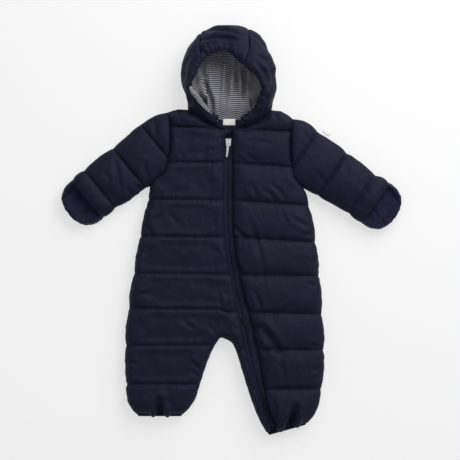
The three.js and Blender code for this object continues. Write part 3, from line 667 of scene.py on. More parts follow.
@dataclass(frozen=True)
class WovenShell:
    """Fine woven nylon: base colour, roughness, sheen and the pitch of its threads in metres."""

    colour: tuple[float, float, float, float] = (0.0060, 0.0059, 0.0185, 1)
    lighter: tuple[float, float, float, float] = (0.0088, 0.0086, 0.0250, 1)
    roughness: float = 0.62
    pitch: float = 0.0007

    def make(self) -> bpy.types.Material:
        """Builds the material."""
        s = Shader("woven_shell")
        uv = s.cloth()
        parts = s.add("ShaderNodeSeparateXYZ", {}, {"Vector": uv}, "X")
        across = Value(s, parts.socket.node.outputs["Y"])
        turn = 2 * math.pi / self.pitch
        weave = (parts * turn).sine() * (across * turn).sine()
        patches = s.noise(s.place(), 42.0)
        fine = s.noise(uv, 900.0, 2.0)
        s.bump(weave * 0.3 + patches * 0.25 + fine * 0.3, 0.0002, 0.5)
        shade = s.mixed(patches.ramp(0.1, 0.9), self.colour, self.lighter)
        return s.finish(
            Base_Color=shade, Roughness=patches * 0.12 + (self.roughness - 0.06), Sheen_Weight=0.03,
            Sheen_Roughness=0.5, Sheen_Tint=(0.45, 0.47, 0.8, 1), Specular_IOR_Level=0.12,
        )


@dataclass(frozen=True)
class BrushedLining:
    """Brushed blue lining with a short nap."""

    colour: tuple[float, float, float, float] = (0.0105, 0.0108, 0.032, 1)
    lighter: tuple[float, float, float, float] = (0.015, 0.0155, 0.041, 1)

    def make(self) -> bpy.types.Material:
        """Builds the material."""
        s = Shader("brushed_lining")
        place = s.place()
        nap = s.noise(place, 1500.0, 4.0)
        cloud = s.noise(place, 90.0)
        s.bump(nap * 0.7 + cloud * 0.3, 0.0005, 0.7)
        return s.finish(
            Base_Color=s.mixed(cloud.ramp(0.3, 0.7), self.colour, self.lighter), Roughness=0.92,
            Sheen_Weight=0.06, Sheen_Roughness=0.4, Sheen_Tint=(0.35, 0.38, 0.8, 1), Specular_IOR_Level=0.08,
        )


@dataclass(frozen=True)
class StripedJersey:
    """Cotton jersey with fine stripes across the cloth."""

    # The stripes are navy and white. The light stripe is partly its own colour and partly painted shade: it
    # is greyed to stand in for the shade inside the hood.
    dark: tuple[float, float, float, float] = (0.022, 0.024, 0.046, 1)
    light: tuple[float, float, float, float] = (0.37, 0.365, 0.39, 1)
    pitch: float = 0.00335

    def make(self) -> bpy.types.Material:
        """Builds the material."""
        s = Shader("striped_jersey")
        uv = s.cloth()
        across = s.add("ShaderNodeSeparateXYZ", {}, {"Vector": uv}, "Y")
        band = (across * (2 * math.pi / self.pitch)).sine()
        loops = s.noise(uv, 2200.0, 2.0)
        s.bump(loops, 0.0003, 0.5)
        shade = s.mixed((band + (loops - 0.5) * 0.5).ramp(-0.45, 0.45), self.dark, self.light)
        return s.finish(Base_Color=shade, Roughness=0.9, Sheen_Weight=0.15, Specular_IOR_Level=0.2)


@dataclass(frozen=True)
class Plain:
    """A plain finish: name, colour, roughness, metalness and how strong its fine grain is."""

    name: str
    colour: tuple[float, float, float, float]
    roughness: float
    metal: float = 0.0
    grain: float = 0.3
    scale: float = 1800.0

    def make(self) -> bpy.types.Material:
        """Builds the material."""
        s = Shader(self.name)
        s.bump(s.noise(s.place(), self.scale, 2.0), 0.0002, self.grain)
        gloss = 0.5 if self.metal else 0.15
        return s.finish(
            Base_Color=self.colour, Roughness=self.roughness, Metallic=self.metal, Specular_IOR_Level=gloss
        )


class Wardrobe:
    """Every finish, made once."""

    def __init__(self) -> None:
        """Makes the materials."""
        self.shell = WovenShell().make()
        self.brushed = BrushedLining().make()
        self.jersey = StripedJersey().make()
        # Painted light: the zip tape and coil get a lighter navy than the shell, whose colour they really
        # share, to offset the shade in their recessed band.
        self.tape = Plain("zip_tape", (0.0135, 0.0133, 0.033, 1), 0.8).make()
        self.coil = Plain("coil_nylon", (0.0125, 0.0125, 0.031, 1), 0.45, grain=0.05).make()
        self.satin = Plain("bare_satin", (0.78, 0.77, 0.73, 1), 0.45, grain=0.2).make()
        self.silver = Plain("plated_metal", (0.80, 0.81, 0.83, 1), 0.24, 1.0, 0.04, 300.0).make()
        self.enamel = Plain("dark_enamel", (0.009, 0.0092, 0.02, 1), 0.22, 0.0, 0.04, 300.0).make()

    def dress(self, piece: bpy.types.Object, material: bpy.types.Material, slot: str, *nodes: str) -> None:
        """Gives a piece its finish, its body and the nodes that it stands for.

        Args:
            piece: the piece.
            material: its finish.
            slot: not used.
            nodes: the nodes that it stands for.
        """
        piece.data.materials.clear()
        piece.data.materials.append(material)
        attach(piece, "suit")
        if nodes:
            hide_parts(*nodes)
        LOG.info("%s: %d faces", piece.name, len(piece.data.polygons))


# ---------------------------------------------------------------- body
PER_CHANNEL = 14
ROWS = np.linspace(0, LAST_LINE, int(LAST_LINE) * PER_CHANNEL + 1)
FRONT_CREASES = {
    Side.RIGHT: (
        Crease(((-51, 127), (-36, 136), (-17, 140)), 4.5, 2.4), Crease(((-74, 78), (-81, 62)), 5, 2),
        Crease(((-146, 14), (-134, -7)), 5, 3), Crease(((-65, -41), (-76, -58), (-88, -70)), 5.5, 3.2),
        Crease(((-75, -96), (-98, -125)), 5.5, 3), Crease(((-107, -96), (-124, -115)), 5, 2.6),
        Crease(((-137, -106), (-156, -112)), 4.5, 2.8), Crease(((-20, -106), (-14, -135)), 4.5, 2.8),
        Crease(((-82, -154), (-59, -170)), 5, 3), Crease(((-137, -174), (-153, -193)), 5, 3),
        Crease(((-69, -222), (-49, -238)), 4.5, 3), Crease(((-65, -241), (-52, -251)), 4, 2.6),
        Crease(((-172, -224), (-156, -229)), 4.5, 3), Crease(((-122, -290), (-115, -346)), 7.5, 21),
        Crease(((-97, -316), (-103, -340)), 5, 4),
        Crease(((-22, -178), (-40, -160)), 4, 2.6), Crease(((-8, -180), (4, -160)), 3.6, 2.4),
        Crease(((-84, 200), (-84, 190)), 6, 3), Crease(((-38, 92), (-30, 66)), 6, 1.6),
        Crease(((-104, 30), (-84, 4)), 6, 1.8), Crease(((-40, -10), (-54, -36)), 6, 1.8),
    ),
    Side.LEFT: (
        Crease(((18, 150), (46, 152), (72, 148)), 4.5, 2), Crease(((39, 159), (76, 161)), 4.5, 2),
        Crease(((25, 130), (44, 118)), 4.5, 2.4), Crease(((14, 124), (25, 117)), 4, 2),
        Crease(((36, 78), (42, 66), (45, 53)), 5, 2.8), Crease(((58, 68), (70, 60), (77, 50)), 5, 2.8),
        Crease(((70, 77), (84, 66), (95, 51)), 5, 2.8), Crease(((88, 27), (97, 14)), 5, 2.6),
        Crease(((102, 23), (120, 12), (135, 5)), 5, 3),
        Crease(((30, 25), (44, -12), (54, -54), (57, -83)), 6, 3.4),
        Crease(((5, 9), (25, -12)), 4.5, 2.8), Crease(((6, 4), (20, -8), (31, -15)), 4, 2.4),
        Crease(((3, -44), (12, -62), (22, -76)), 5.5, 4.4),
        Crease(((41, -102), (49, -122), (54, -141)), 5, 3),
        Crease(((89, -141), (104, -130), (115, -115)), 5, 2),
        Crease(((31, -170), (54, -167), (70, -186), (83, -206), (90, -212)), 8, 6.5, 0.7),
        Crease(((86, -222), (93, -254)), 5.5, 3), Crease(((75, -287), (77, -329)), 5.5, 3.4),
        Crease(((112, -302), (93, -358)), 7.5, 21), Crease(((78, -326), (73, -356)), 5, 4),
        Crease(((140, -5), (124, -10)), 4.5, 2.8),
        Crease(((146, -95), (130, -90)), 4.5, 2.8), Crease(((152, -200), (136, -194)), 4.5, 2.8),
        Crease(((153, -235), (138, -240)), 4.5, 2.6), Crease(((76, 200), (80, 186)), 6, 3),
    ),
}


@dataclass
class Body:
    """The two fronts and the two back halves, with the heights of the fronts' edges, grooves and crowns."""

    tailor: Tailor
    wardrobe: Wardrobe
    inflation: Inflation
    seam_edge: float = 3.2
    zip_edge: float = 2.6
    groove: float = 9.4
    crown: float = 17.6
    armhole_edge: float = 8.5
    cut_wider: float = 1.04
    cut_longer: float = 1.03
    pressure: float = 2.2
    most: float = 5.0

    def columns(self, side: Side, back: bool) -> tuple[Array, Array, Array]:
        """The plan of a panel.

        Args:
            side: the wearer's side.
            back: True for a back half, which reaches the middle seam instead of the zip.

        Returns:
            the points' x and y, and which cells exist.
        """
        line = ROWS
        outer = side_point(side, line)
        split = side is Side.RIGHT or back
        if back:
            y = line_y[side](line)
            inner = np.stack([side.value * np.where(y > 190, back_neck_x(y), -1.4), y], -1)
        else:
            inner = zip_point(side, line)
        if not split:
            share = np.linspace(0, 1, 37)
            share = share - 0.02 * np.sin(2 * np.pi * share)
            plan = mix(outer[:, None], inner[:, None], share[None, :, None])
            cells = np.ones((len(line) - 1, 36), bool)
            return plan[..., 0], plan[..., 1], cells
        low = step(CROTCH_LINE - 2.6, CROTCH_LINE, line)
        if back:
            leg_end = self.leg_end(side, line)
            start = mix(outer, inner, 0.92)
            knee = mix(start, leg_end, low[:, None])
            knee = np.where((line >= CROTCH_LINE - 0.02)[:, None], leg_end, knee)
            counts, ends = (38, 4), (outer, knee, inner)
        else:
            right, left = self.leg_end(Side.RIGHT, line), self.leg_end(Side.LEFT, line)
            start, after = mix(outer, inner, 0.80), mix(outer, inner, 0.86)
            below = (line >= CROTCH_LINE - 0.02)[:, None]
            knee = np.where(below, right, mix(start, right, low[:, None]))
            hip = np.where(below, left, mix(after, left, low[:, None]))
            counts, ends = (36, 3, 8), (outer, knee, hip, inner)
        parts = []
        for k, (a, b) in enumerate(zip(ends[:-1], ends[1:])):
            share = np.linspace(0, 1, counts[k] + 1)[None, (1 if k else 0) :, None]
            parts.append(mix(a[:, None], b[:, None], share))
        plan = np.concatenate(parts, axis=1)
        cells = np.ones((len(line) - 1, plan.shape[1] - 1), bool)
        middle = (line[:-1] + line[1:]) / 2
        cells[middle > CROTCH_LINE, counts[0] : counts[0] + counts[1]] = False
        return plan[..., 0], plan[..., 1], cells

    def leg_end(self, side: Side, line: Array) -> Array:
        """Where rows meet a leg's inseam.

        Args:
            side: the wearer's side.
            line: the rows.

        Returns:
            the points' x and y.
        """
        y = line_y[Side.RIGHT](line) if side is Side.RIGHT else line_y[None](line)
        x = inseam_x[side](y)
        if side is Side.LEFT:
            y = y - HEM_SKEW * step(LAST_LINE - 1, LAST_LINE, line)
        return np.stack([x, y], -1)

    @staticmethod
    def rim_distance(x: Array, y: Array, cells: Array, free: Array | None = None) -> tuple[Array, Array]:
        """Distance of every point from a panel's sewn outline, and which points lie on any outline.

        Args:
            x: the points' places along X.
            y: the points' places along Y.
            cells: which cells exist.
            free: points of the outline that don't count for the distance.

        Returns:
            the distances, and True for each point on the outline.
        """
        rows, columns = x.shape
        count = {}
        for i, j in zip(*np.nonzero(cells)):
            quad = [(i, j), (i, j + 1), (i + 1, j + 1), (i + 1, j)]
            for a, b in zip(quad, quad[1:] + quad[:1]):
                edge = (min(a, b), max(a, b))
                count[edge] = count.get(edge, 0) + 1
        rim = sorted({point for edge, times in count.items() if times == 1 for point in edge})
        spots = np.array([(x[p], y[p]) for p in rim if free is None or not free[p]])
        flat = np.stack([x.ravel(), y.ravel()], -1)
        best = np.full(len(flat), 1e9)
        for start in range(0, len(spots), 64):
            gap = np.linalg.norm(flat[:, None] - spots[None, start : start + 64], axis=-1)
            best = np.minimum(best, gap.min(1))
        on_rim = np.zeros(x.shape, bool)
        on_rim[tuple(np.array(rim).T)] = True
        return best.reshape(x.shape), on_rim

    def front(self, side: Side) -> tuple[Cloth, Array]:
        """A front's shaped grid and the height of its underside.

        Args:
            side: the wearer's side.

        Returns:
            the grid, and the points of its underside.
        """
        x, y, cells = self.columns(side, False)
        from_zip = np.abs(x - zip_x(y)) - zip_half(y)
        brim, on_rim = self.rim_distance(x, y, cells, (from_zip < 0.5) & (y < 160))
        line = np.repeat(ROWS[:, None], x.shape[1], 1)
        near_zip = np.where(line > 1.05, step(26, 6, from_zip), 0)
        full = mix(self.groove, self.crown, puff(line, 0.38))
        by_arm = step(ARMPIT[side] - 6, ARMPIT[side] + 14, y) * step(20, 70, np.abs(x)) * step(204, 190, y)
        seam_edge = mix(self.seam_edge, self.armhole_edge, by_arm)
        height = seam_edge + (full - seam_edge) * rounded(brim, mix(36, 15, by_arm))
        at_zip = self.zip_edge + (full - self.zip_edge) * rounded(np.maximum(from_zip, 0), 30)
        height = np.where(line > 1.05, np.minimum(height, at_zip), height)
        under = SEAM_Z + 1.9 * step(0, 10, brim) + 1.2 * near_zip
        lumps = Grain(3 + side.value).layers(x / 24, y / 20, 2) * 1.3 * step(4, 22, brim) * puff(line)
        points = np.stack([x, y, under + height + lumps], -1)
        on_line = np.isclose(line, np.round(line)) & (line > 0.5)
        sewn = np.where(on_rim | on_line, 1.0, 0.0)
        uv = np.stack([x, y], -1) * MM
        return Cloth(points, cells, sewn, line, brim, uv), np.stack([x, y, under], -1)

    def back(self, side: Side) -> tuple[Cloth, Array]:
        """A back half's grid, which faces down, and its upper side.

        Args:
            side: the wearer's side.

        Returns:
            the grid, and the points of its upper side.
        """
        x, y, cells = self.columns(side, True)
        brim, on_rim = self.rim_distance(x, y, cells)
        line = np.repeat(ROWS[:, None], x.shape[1], 1)
        flat = np.minimum(1, puff(line) / puff(np.array(0.28)))
        seat = np.where(line < CROTCH_LINE, step(14, 0, np.abs(x)) * 3.5, 0)
        low = np.maximum(np.maximum(9 * (1 - rounded(brim, 24)), 3.4 * (1 - flat)), seat)
        points = np.stack([x, y, low], -1)
        uv = np.stack([x, y], -1) * MM
        return Cloth(points, cells, on_rim * 1.0, line, brim, uv), np.stack([x, y, 0 * x + BACK_TOP], -1)

    @staticmethod
    def pucker(seed: int) -> Callable[..., Array]:
        """Fine gathers beside the stitching, and soft lumps.

        Args:
            seed: the seed of the first of three grains.

        Returns:
            a height for Tailor.press.
        """
        first, second, third = Grain(seed), Grain(seed + 1), Grain(seed + 2)

        def height(
            x: Array, y: Array, z: Array, normals: Array, line: Array, brim: Array, face: Array
        ) -> Array:
            """Millimetres to move each point out."""
            stitch = np.abs(line - np.round(line)) * CHANNEL
            near_line = np.exp(-((stitch / 10) ** 1.4)) * (line > 0.3)
            fade = 0.35 + 0.65 * step(0.5, 4, stitch)
            gathers = first.at(x / 5.2, y / 21) + 0.6 * second.at(x / 2.9 + 9, y / 15)
            at_edge = np.exp(-brim / 9) * first.at(y / 5.6 + 31, x / 26)
            soft = third.layers(x / 19, y / 15, 2) * step(3, 16, brim)
            drag = 1 - np.abs(second.layers(x / 15 + y / 60, y / 34, 2))
            fine = -0.75 * np.clip(drag - 0.86, 0, 1) / 0.14 * step(2, 12, brim)
            sewn = -1.3 * np.exp(-((stitch / 1.5) ** 2)) * (line > 0.3)
            stitched = 0.6 * near_line * fade * gathers + 0.75 * at_edge
            return face * (stitched + 0.45 * soft + 0.8 * fine + sewn)

        return height

    @staticmethod
    def hollows(seed: int) -> Callable[..., Array]:
        """Hollows beside the back's stitching, which lie off the surface.

        Args:
            seed: the seed of their grain.

        Returns:
            a height for Tailor.press.
        """
        grain = Grain(seed)

        def height(
            x: Array, y: Array, z: Array, normals: Array, line: Array, brim: Array, face: Array
        ) -> Array:
            """Millimetres to move each point out."""
            stitch = np.abs(line - np.round(line)) * CHANNEL
            beside = np.exp(-((stitch / 9) ** 1.4)) * (line > 0.3) + np.exp(-brim / 10)
            return -face * beside * (0.9 + 1.1 * grain.at(x / 5.5, y / 20))

        return height

    def build(self) -> None:
        """Builds and dresses the fronts and backs."""
        fronts = {side: self.front(side) for side in Side}
        for cloth, _ in fronts.values():
            cut = cloth.points.copy()
            cut[..., 0] *= self.cut_wider
            cut[..., 1] *= self.cut_longer
            self.inflation.add(cloth, cut, self.pressure, self.most)
        self.inflation.run()
        for side, (cloth, under) in fronts.items():
            piece = self.tailor.pad(f"front_{side.word}_cloth", cloth, under)
            self.tailor.refine(piece)
            self.tailor.press(piece, self.pucker(20 + side.value), "line", "brim", "face")
            self.tailor.press(piece, creased(FRONT_CREASES[side]), "face")
            self.wardrobe.dress(piece, self.wardrobe.shell, "shell", f"front_{side.word}")
            low, top = self.back(side)
            piece = self.tailor.pad(f"back_{side.word}_cloth", low, top)
            self.tailor.refine(piece)
            self.tailor.press(piece, self.hollows(50 + side.value), "line", "brim", "face")
            self.wardrobe.dress(piece, self.wardrobe.shell, "shell", f"back_{side.word}")


# ---------------------------------------------------------------- sleeves and mitts
@dataclass(frozen=True)
class Arm:
    """A sleeve's axis: its cuff's middle, its direction, and its half widths along it."""

    side: Side
    cuff: tuple[float, float]
    degrees: float
    widths: dict[str, Array]

    def axes(self) -> tuple[Array, Array]:
        """The directions along the sleeve and across it to its upper edge."""
        turn = math.radians(self.degrees)
        along = np.array([math.cos(turn), math.sin(turn)])
        across = np.array([along[1], -along[0]]) if along[0] < 0 else np.array([-along[1], along[0]])
        return along, across

    def at(self, along: Array, across: Array) -> Array:
        """Plan points from places along and across the sleeve."""
        way, over = self.axes()
        return np.array(self.cuff) + np.multiply.outer(along, way) + np.multiply.outer(across, over)

    def edges(self) -> tuple[Callable[[Array], Array], Callable[[Array], Array]]:
        """The curves of the upper and the lower half width along the sleeve."""
        along = self.widths["along"]
        return smooth(along, self.widths["upper"]), smooth(along, self.widths["lower"])

    def local(self, x: Array, y: Array) -> tuple[Array, Array]:
        """Places along and across the sleeve from plan points."""
        way, over = self.axes()
        dx, dy = x - self.cuff[0], y - self.cuff[1]
        return dx * way[0] + dy * way[1], dx * over[0] + dy * over[1]


ARMS = (
    Arm(Side.RIGHT, (-223, 70), 219.6, table(
        "along upper lower",
        (-186, 18, 46), (-174, 22, 46), (-156, 31, 46), (-124, 36, 46), (-82, 40, 46), (-62, 41, 48),
        (-31, 43, 48), (0, 43, 44), (14, 44, 44), (28, 42, 42),
    )),
    Arm(Side.LEFT, (227, 61), -34.1, table(
        "along upper lower",
        (-186, 24, 48), (-168, 37, 48), (-150, 44, 48), (-124, 45, 48), (-88, 46, 48), (-62, 45, 47),
        (-31, 43, 43), (0, 41, 42), (14, 43, 43), (28, 41, 42),
    )),
)
MITT_WIDTHS = table("along half", (28.4, 42), (36, 42), (46, 39.5), (56, 34), (62, 27), (66, 18), (68, 9))
ARM_CREASES = {
    Side.RIGHT: (
        Crease(((-129, 184), (-127, 172), (-128, 161)), 5.5, 3.6),
        Crease(((-197, 122), (-190, 94), (-187, 64)), 6, 3.4),
        Crease(((-146, 112), (-140, 85)), 6, 3.4), Crease(((-176, 71), (-163, 55)), 5, 3),
        Crease(((-162, 77), (-148, 66)), 5, 2.8), Crease(((-214, 100), (-204, 84)), 5, 2.2),
    ),
    Side.LEFT: (
        Crease(((224, 94), (234, 102)), 5, 2.4), Crease(((178, 55), (184, 73)), 5.5, 3),
        Crease(((126, 168), (134, 150)), 5, 2.6), Crease(((150, 100), (158, 78)), 6, 2.6),
        Crease(((200, 112), (196, 92)), 5.5, 2.4),
    ),
}


@dataclass
class Sleeves:
    """Both sleeves with their mitts, and the sleeves' heights, cuff length and quilting pitch."""

    tailor: Tailor
    wardrobe: Wardrobe
    crown: float = 35.0
    groove: float = 27.0
    edge: float = 14.0
    mouth: float = 28.0
    spacing: float = 62.0

    @staticmethod
    def slack(arm: Arm, along: Array) -> tuple[Array, Array]:
        """Extra cloth over and under the arm where it nears the armhole.

        Args:
            arm: the sleeve.
            along: places along the sleeve.

        Returns:
            how much wider the upper and the lower half get.
        """
        if arm.side is Side.RIGHT:
            return 4.2 * step(-84, -118, along), 3.6 * step(-84, -118, along) + 5.0 * step(-44, -72, along)
        return 4.2 * step(-120, -140, along), 3.6 * step(-84, -118, along)

    def start(self, arm: Arm, share: Array) -> Array:
        """How far up the sleeve each column reaches before it meets the armhole.

        Args:
            arm: the sleeve.
            share: the columns, from 0 at the lower edge to 1 at the upper.

        Returns:
            places along the sleeve.
        """
        upper, lower = arm.edges()
        reach = np.linspace(-186, 20, 500)
        more, less = self.slack(arm, reach)
        high, low = (upper(reach) + more)[:, None], (lower(reach) + less)[:, None]
        plan = arm.at(np.repeat(reach[:, None], len(share), 1), share[None] * (high + low) - low)
        edge = side_x[arm.side](plan[..., 1])
        tuck = 1.6 + 5.0 * step(112, 94, plan[..., 1])
        inside = arm.side.value * (edge - plan[..., 0]) > tuck
        last = np.where(inside.any(0), len(reach) - 1 - np.argmax(inside[::-1], axis=0), 0)
        return reach[np.minimum(last + 1, len(reach) - 1)]

    def sleeve(self, arm: Arm) -> None:
        """Builds one sleeve."""
        share = 0.5 - 0.5 * np.cos(np.pi * np.linspace(0, 1, 41))
        share = mix(share, np.linspace(0, 1, 41), 0.45)
        rows = np.arange(-186, 28.1, 3.0)
        rows = np.unique(np.r_[rows, -124, -62, 0, 28])
        begin = self.start(arm, share)
        along = np.maximum(rows[:, None], begin[None])
        upper, lower = arm.edges()
        # A quilting line draws both edges of the sleeve in a little.
        cuff = np.sin(np.pi * np.clip(along / self.mouth, 0, 1))
        channel = np.where(along > 0, cuff, puff(along / self.spacing, 1.0))
        tuck = 2.6 * (1 - np.abs(channel)) ** 2 * step(-128, -92, along)
        more, less = self.slack(arm, along)
        high, low = upper(along) - tuck + more, lower(along) - tuck + less
        across = share[None] * (high + low) - low
        plan = arm.at(along, across)
        seam = along - begin[None]
        hump = np.where(along > 0, cuff**0.6, puff(along / self.spacing, 0.38))
        full = mix(self.groove, self.crown, hump) - self.edge
        round_off = np.sin(np.pi * share)[None] ** 0.4
        lumps = Grain(80 + arm.side.value).layers(along / 24, across / 19, 2) * round_off
        top = self.edge + full * round_off * (0.60 + 0.40 * rounded(seam, 15)) + lumps * step(0, 14, seam)
        edge = np.minimum(share, 1 - share)[None] * (high + low)
        under = np.maximum(9 * (1 - rounded(edge, 20)), 2.4 * (1 - np.minimum(1, hump / 0.5)))
        top = np.maximum(top, under + 3)
        cells = np.ones((len(rows) - 1, len(share) - 1), bool)
        cells &= (along[1:, 1:] - along[:-1, 1:] > 1e-6) | (along[1:, :-1] - along[:-1, :-1] > 1e-6)
        line = along / self.spacing
        points = np.dstack([plan, top])
        uv = np.stack([along, across], -1) * MM
        cloth = Cloth(points, cells, np.zeros(along.shape), line, np.minimum(seam, edge), uv)
        piece = self.tailor.pad(f"sleeve_{arm.side.word}_cloth", cloth, np.dstack([plan, under]))
        self.tailor.refine(piece)
        first, second, soft = (Grain(90 + 3 * arm.side.value + k) for k in range(3))

        def gathers(
            x: Array, y: Array, z: Array, normals: Array, line: Array, brim: Array, face: Array
        ) -> Array:
            """Gathers at the quilting lines, the armhole, the cuff's seam and the elastic mouth."""
            a, c = arm.local(x, y)
            to_line = np.abs(line - np.round(line)) * self.spacing
            stitch = np.where(a > 0, np.minimum(a, np.abs(self.mouth - a)), to_line)
            near = np.exp(-((stitch / 10) ** 1.4))
            fine = first.at(c / 5.0, a / 20) + 0.6 * second.at(c / 2.8, a / 14)
            elastic = np.exp(-((a - 14) / 15) ** 2) * first.at(c / 4.2 + 12, a / 40)
            edge_gather = np.exp(-brim / 9) * second.at(y / 5.5, x / 24)
            body = soft.layers(a / 18, c / 15, 2) * step(3, 14, brim)
            upward = np.where(face > 0.5, 1.0, 0.25)
            sewn = -1.2 * np.exp(-((np.where(a > 0, 9.0, stitch) / 1.5) ** 2))
            return upward * (0.4 * near * fine + 0.3 * elastic + 0.4 * edge_gather + 0.45 * body + 0.8 * sewn)

        self.tailor.press(piece, gathers, "line", "brim", "face")
        self.tailor.press(piece, creased(ARM_CREASES[arm.side]), "face")
        self.wardrobe.dress(piece, self.wardrobe.shell, "shell", f"sleeve_{arm.side.word}")

    def mitt_grid(self, inset: float) -> tuple[Array, Array, Array]:
        """Places along and across a mitt, and their distance from its outline.

        Args:
            inset: how far the grid stays inside the mitt's sides.

        Returns:
            the places along, the places across and the distances.
        """
        half = smooth(MITT_WIDTHS["along"], MITT_WIDTHS["half"])
        along = 25.0 + (68 - inset * 0.9 - 25.0) * np.linspace(0, 1, 26) ** 0.82
        share = np.linspace(-1, 1, 45)
        share = np.sin(share * np.pi / 2) * 0.35 + share * 0.65
        wide = half(along) - inset
        a, c = np.repeat(along[:, None], len(share), 1), share[None] * wide[:, None]
        edge = np.minimum(np.abs(np.abs(c) - half(a)), np.sqrt(np.maximum(70 - a, 0) * 6) + 0.3)
        return a, c, edge

    def mitt(self, arm: Arm) -> None:
        """Builds a mitt's padded cup and its brushed lining."""
        a, c, edge = self.mitt_grid(0)
        rim = 12 * np.exp(-(((edge - 6.5) / 7.5) ** 2)) * 1.05
        plan = arm.at(a, c)
        low = 6 * (1 - rounded(edge, 14))
        wave = Grain(120 + arm.side.value)
        top = 8 + rim + 1.2 * wave.at(a / 8, c / 8)
        top = np.maximum(mix(low + 2.5, top, step(0, 3, edge)), low + 2.2)
        shape = a.shape
        cells = np.ones((shape[0] - 1, shape[1] - 1), bool)
        uv = np.stack([a, c], -1) * MM
        cup = Cloth(np.dstack([plan, top]), cells, np.zeros(shape), a / 40, edge, uv)
        piece = self.tailor.pad(f"mitt_{arm.side.word}_cloth", cup, np.dstack([plan, low]))
        self.tailor.refine(piece)
        ripple = Grain(130 + arm.side.value)

        def ripples(x: Array, y: Array, z: Array, normals: Array, brim: Array, face: Array) -> Array:
            """Small ripples that fade away from the mitt's outline."""
            return (0.3 + 0.7 * face) * np.exp(-brim / 12) * 0.8 * ripple.at(x / 4.4, y / 4.4)

        self.tailor.press(piece, ripples, "brim", "face")
        self.wardrobe.dress(piece, self.wardrobe.shell, "shell", f"mitt_{arm.side.word}")
        inset = {Side.RIGHT: 10.0, Side.LEFT: 3.5}[arm.side]
        a, c, edge = self.mitt_grid(inset)
        swell = 4.2 * step(4, 20, edge)
        lip = 13 * np.exp(-(((edge - 5.2) / 6.2) ** 2)) * 0.75
        height = 10.2 + lip + swell + 1.5 * wave.layers(a / 11, c / 9, 2)
        plan = arm.at(a, c)
        cells = np.ones((a.shape[0] - 1, a.shape[1] - 1), bool)
        uv = np.stack([a, c], -1) * MM
        lining = Cloth(np.dstack([plan, height + 1]), cells, np.zeros(a.shape), a / 40, edge, uv)
        sheet = self.tailor.pad(f"mitt_lining_{arm.side.word}_cloth", lining, np.dstack([plan, height]))
        self.tailor.refine(sheet)
        self.wardrobe.dress(sheet, self.wardrobe.brushed, "brushed_lining", f"mitt_lining_{arm.side.word}")

    def build(self) -> None:
        """Builds both sleeves and both mitts."""
        for arm in ARMS:
            self.sleeve(arm)
            self.mitt(arm)


# ---------------------------------------------------------------- hood
HOOD_RIM = table(
    "angle outer face high",
    (-163, 72, 59, 34), (-146, 72, 56, 38), (-132, 74, 53, 43), (-118, 77, 54, 50), (-104, 76, 60, 58),
    (-90, 80, 65, 62), (-74, 83, 61, 64), (-58, 89, 59, 65), (-40, 97, 61, 65), (-20, 101, 60, 64),
    (0, 102, 55, 63), (18, 101, 46, 64), (36, 96, 41, 66), (54, 87, 42, 67), (72, 82, 49, 66),
    (90, 80, 55, 64),
    (104, 80, 57, 59), (118, 80, 57, 51), (132, 79, 59, 44), (146, 78, 60, 38), (161, 74, 60, 34),
)
HOOD_SHAPE = table(
    "row out up neck_out neck_up",
    (0, 0.35, 0, 0.7, 0), (1, 0.78, 0.07, 0.94, 0.08), (2, 0.98, 0.28, 1, 0.28), (3, 1, 0.47, 0.98, 0.48),
    (4, 0.93, 0.63, 0.92, 0.64), (5, 0.8, 0.76, 0.82, 0.76), (6, 0.62, 0.88, 0.66, 0.9),
    (7, 0.42, 0.95, 0.46, 0.94), (8, 0.2, 0.99, 0.22, 0.99), (9, 0, 0.93, 0, 0.94),
)
HOOD_CREASES = (
    Crease(((-40, 339), (-18, 340), (5, 335), (24, 326)), 4, 4.2),
    Crease(((-50, 320), (-21, 325), (20, 320)), 4, 4.2),
    Crease(((44, 296), (63, 286), (72, 262), (71, 243), (60, 224)), 4.6, 3.8),
    Crease(((46, 280), (59, 265), (65, 243)), 4.2, 3.2), Crease(((36, 330), (52, 322), (65, 302)), 4.2, 3.2),
    Crease(((-66, 300), (-76, 276), (-78, 250)), 4.6, 3), Crease(((-58, 330), (-68, 312)), 4.2, 2.6),
    Crease(((-70, 232), (-66, 214)), 4.2, 2.6),
)
LINING_CREASES = (
    Crease(((-45, 289), (-47, 269), (-43, 255), (-38, 238), (-31, 221), (-30, 204)), 4, 5.5),
    Crease(((-37, 265), (-43, 255)), 3.4, 3), Crease(((-16, 294), (-15, 279)), 3.4, 3.4),
    Crease(((3, 294), (1, 279), (-4, 269), (-5, 238), (-9, 224)), 4, 4.2),
    Crease(((13, 275), (11, 238)), 3.6, 3.2), Crease(((29, 279), (25, 265), (24, 250), (23, 224)), 4, 4.6),
)


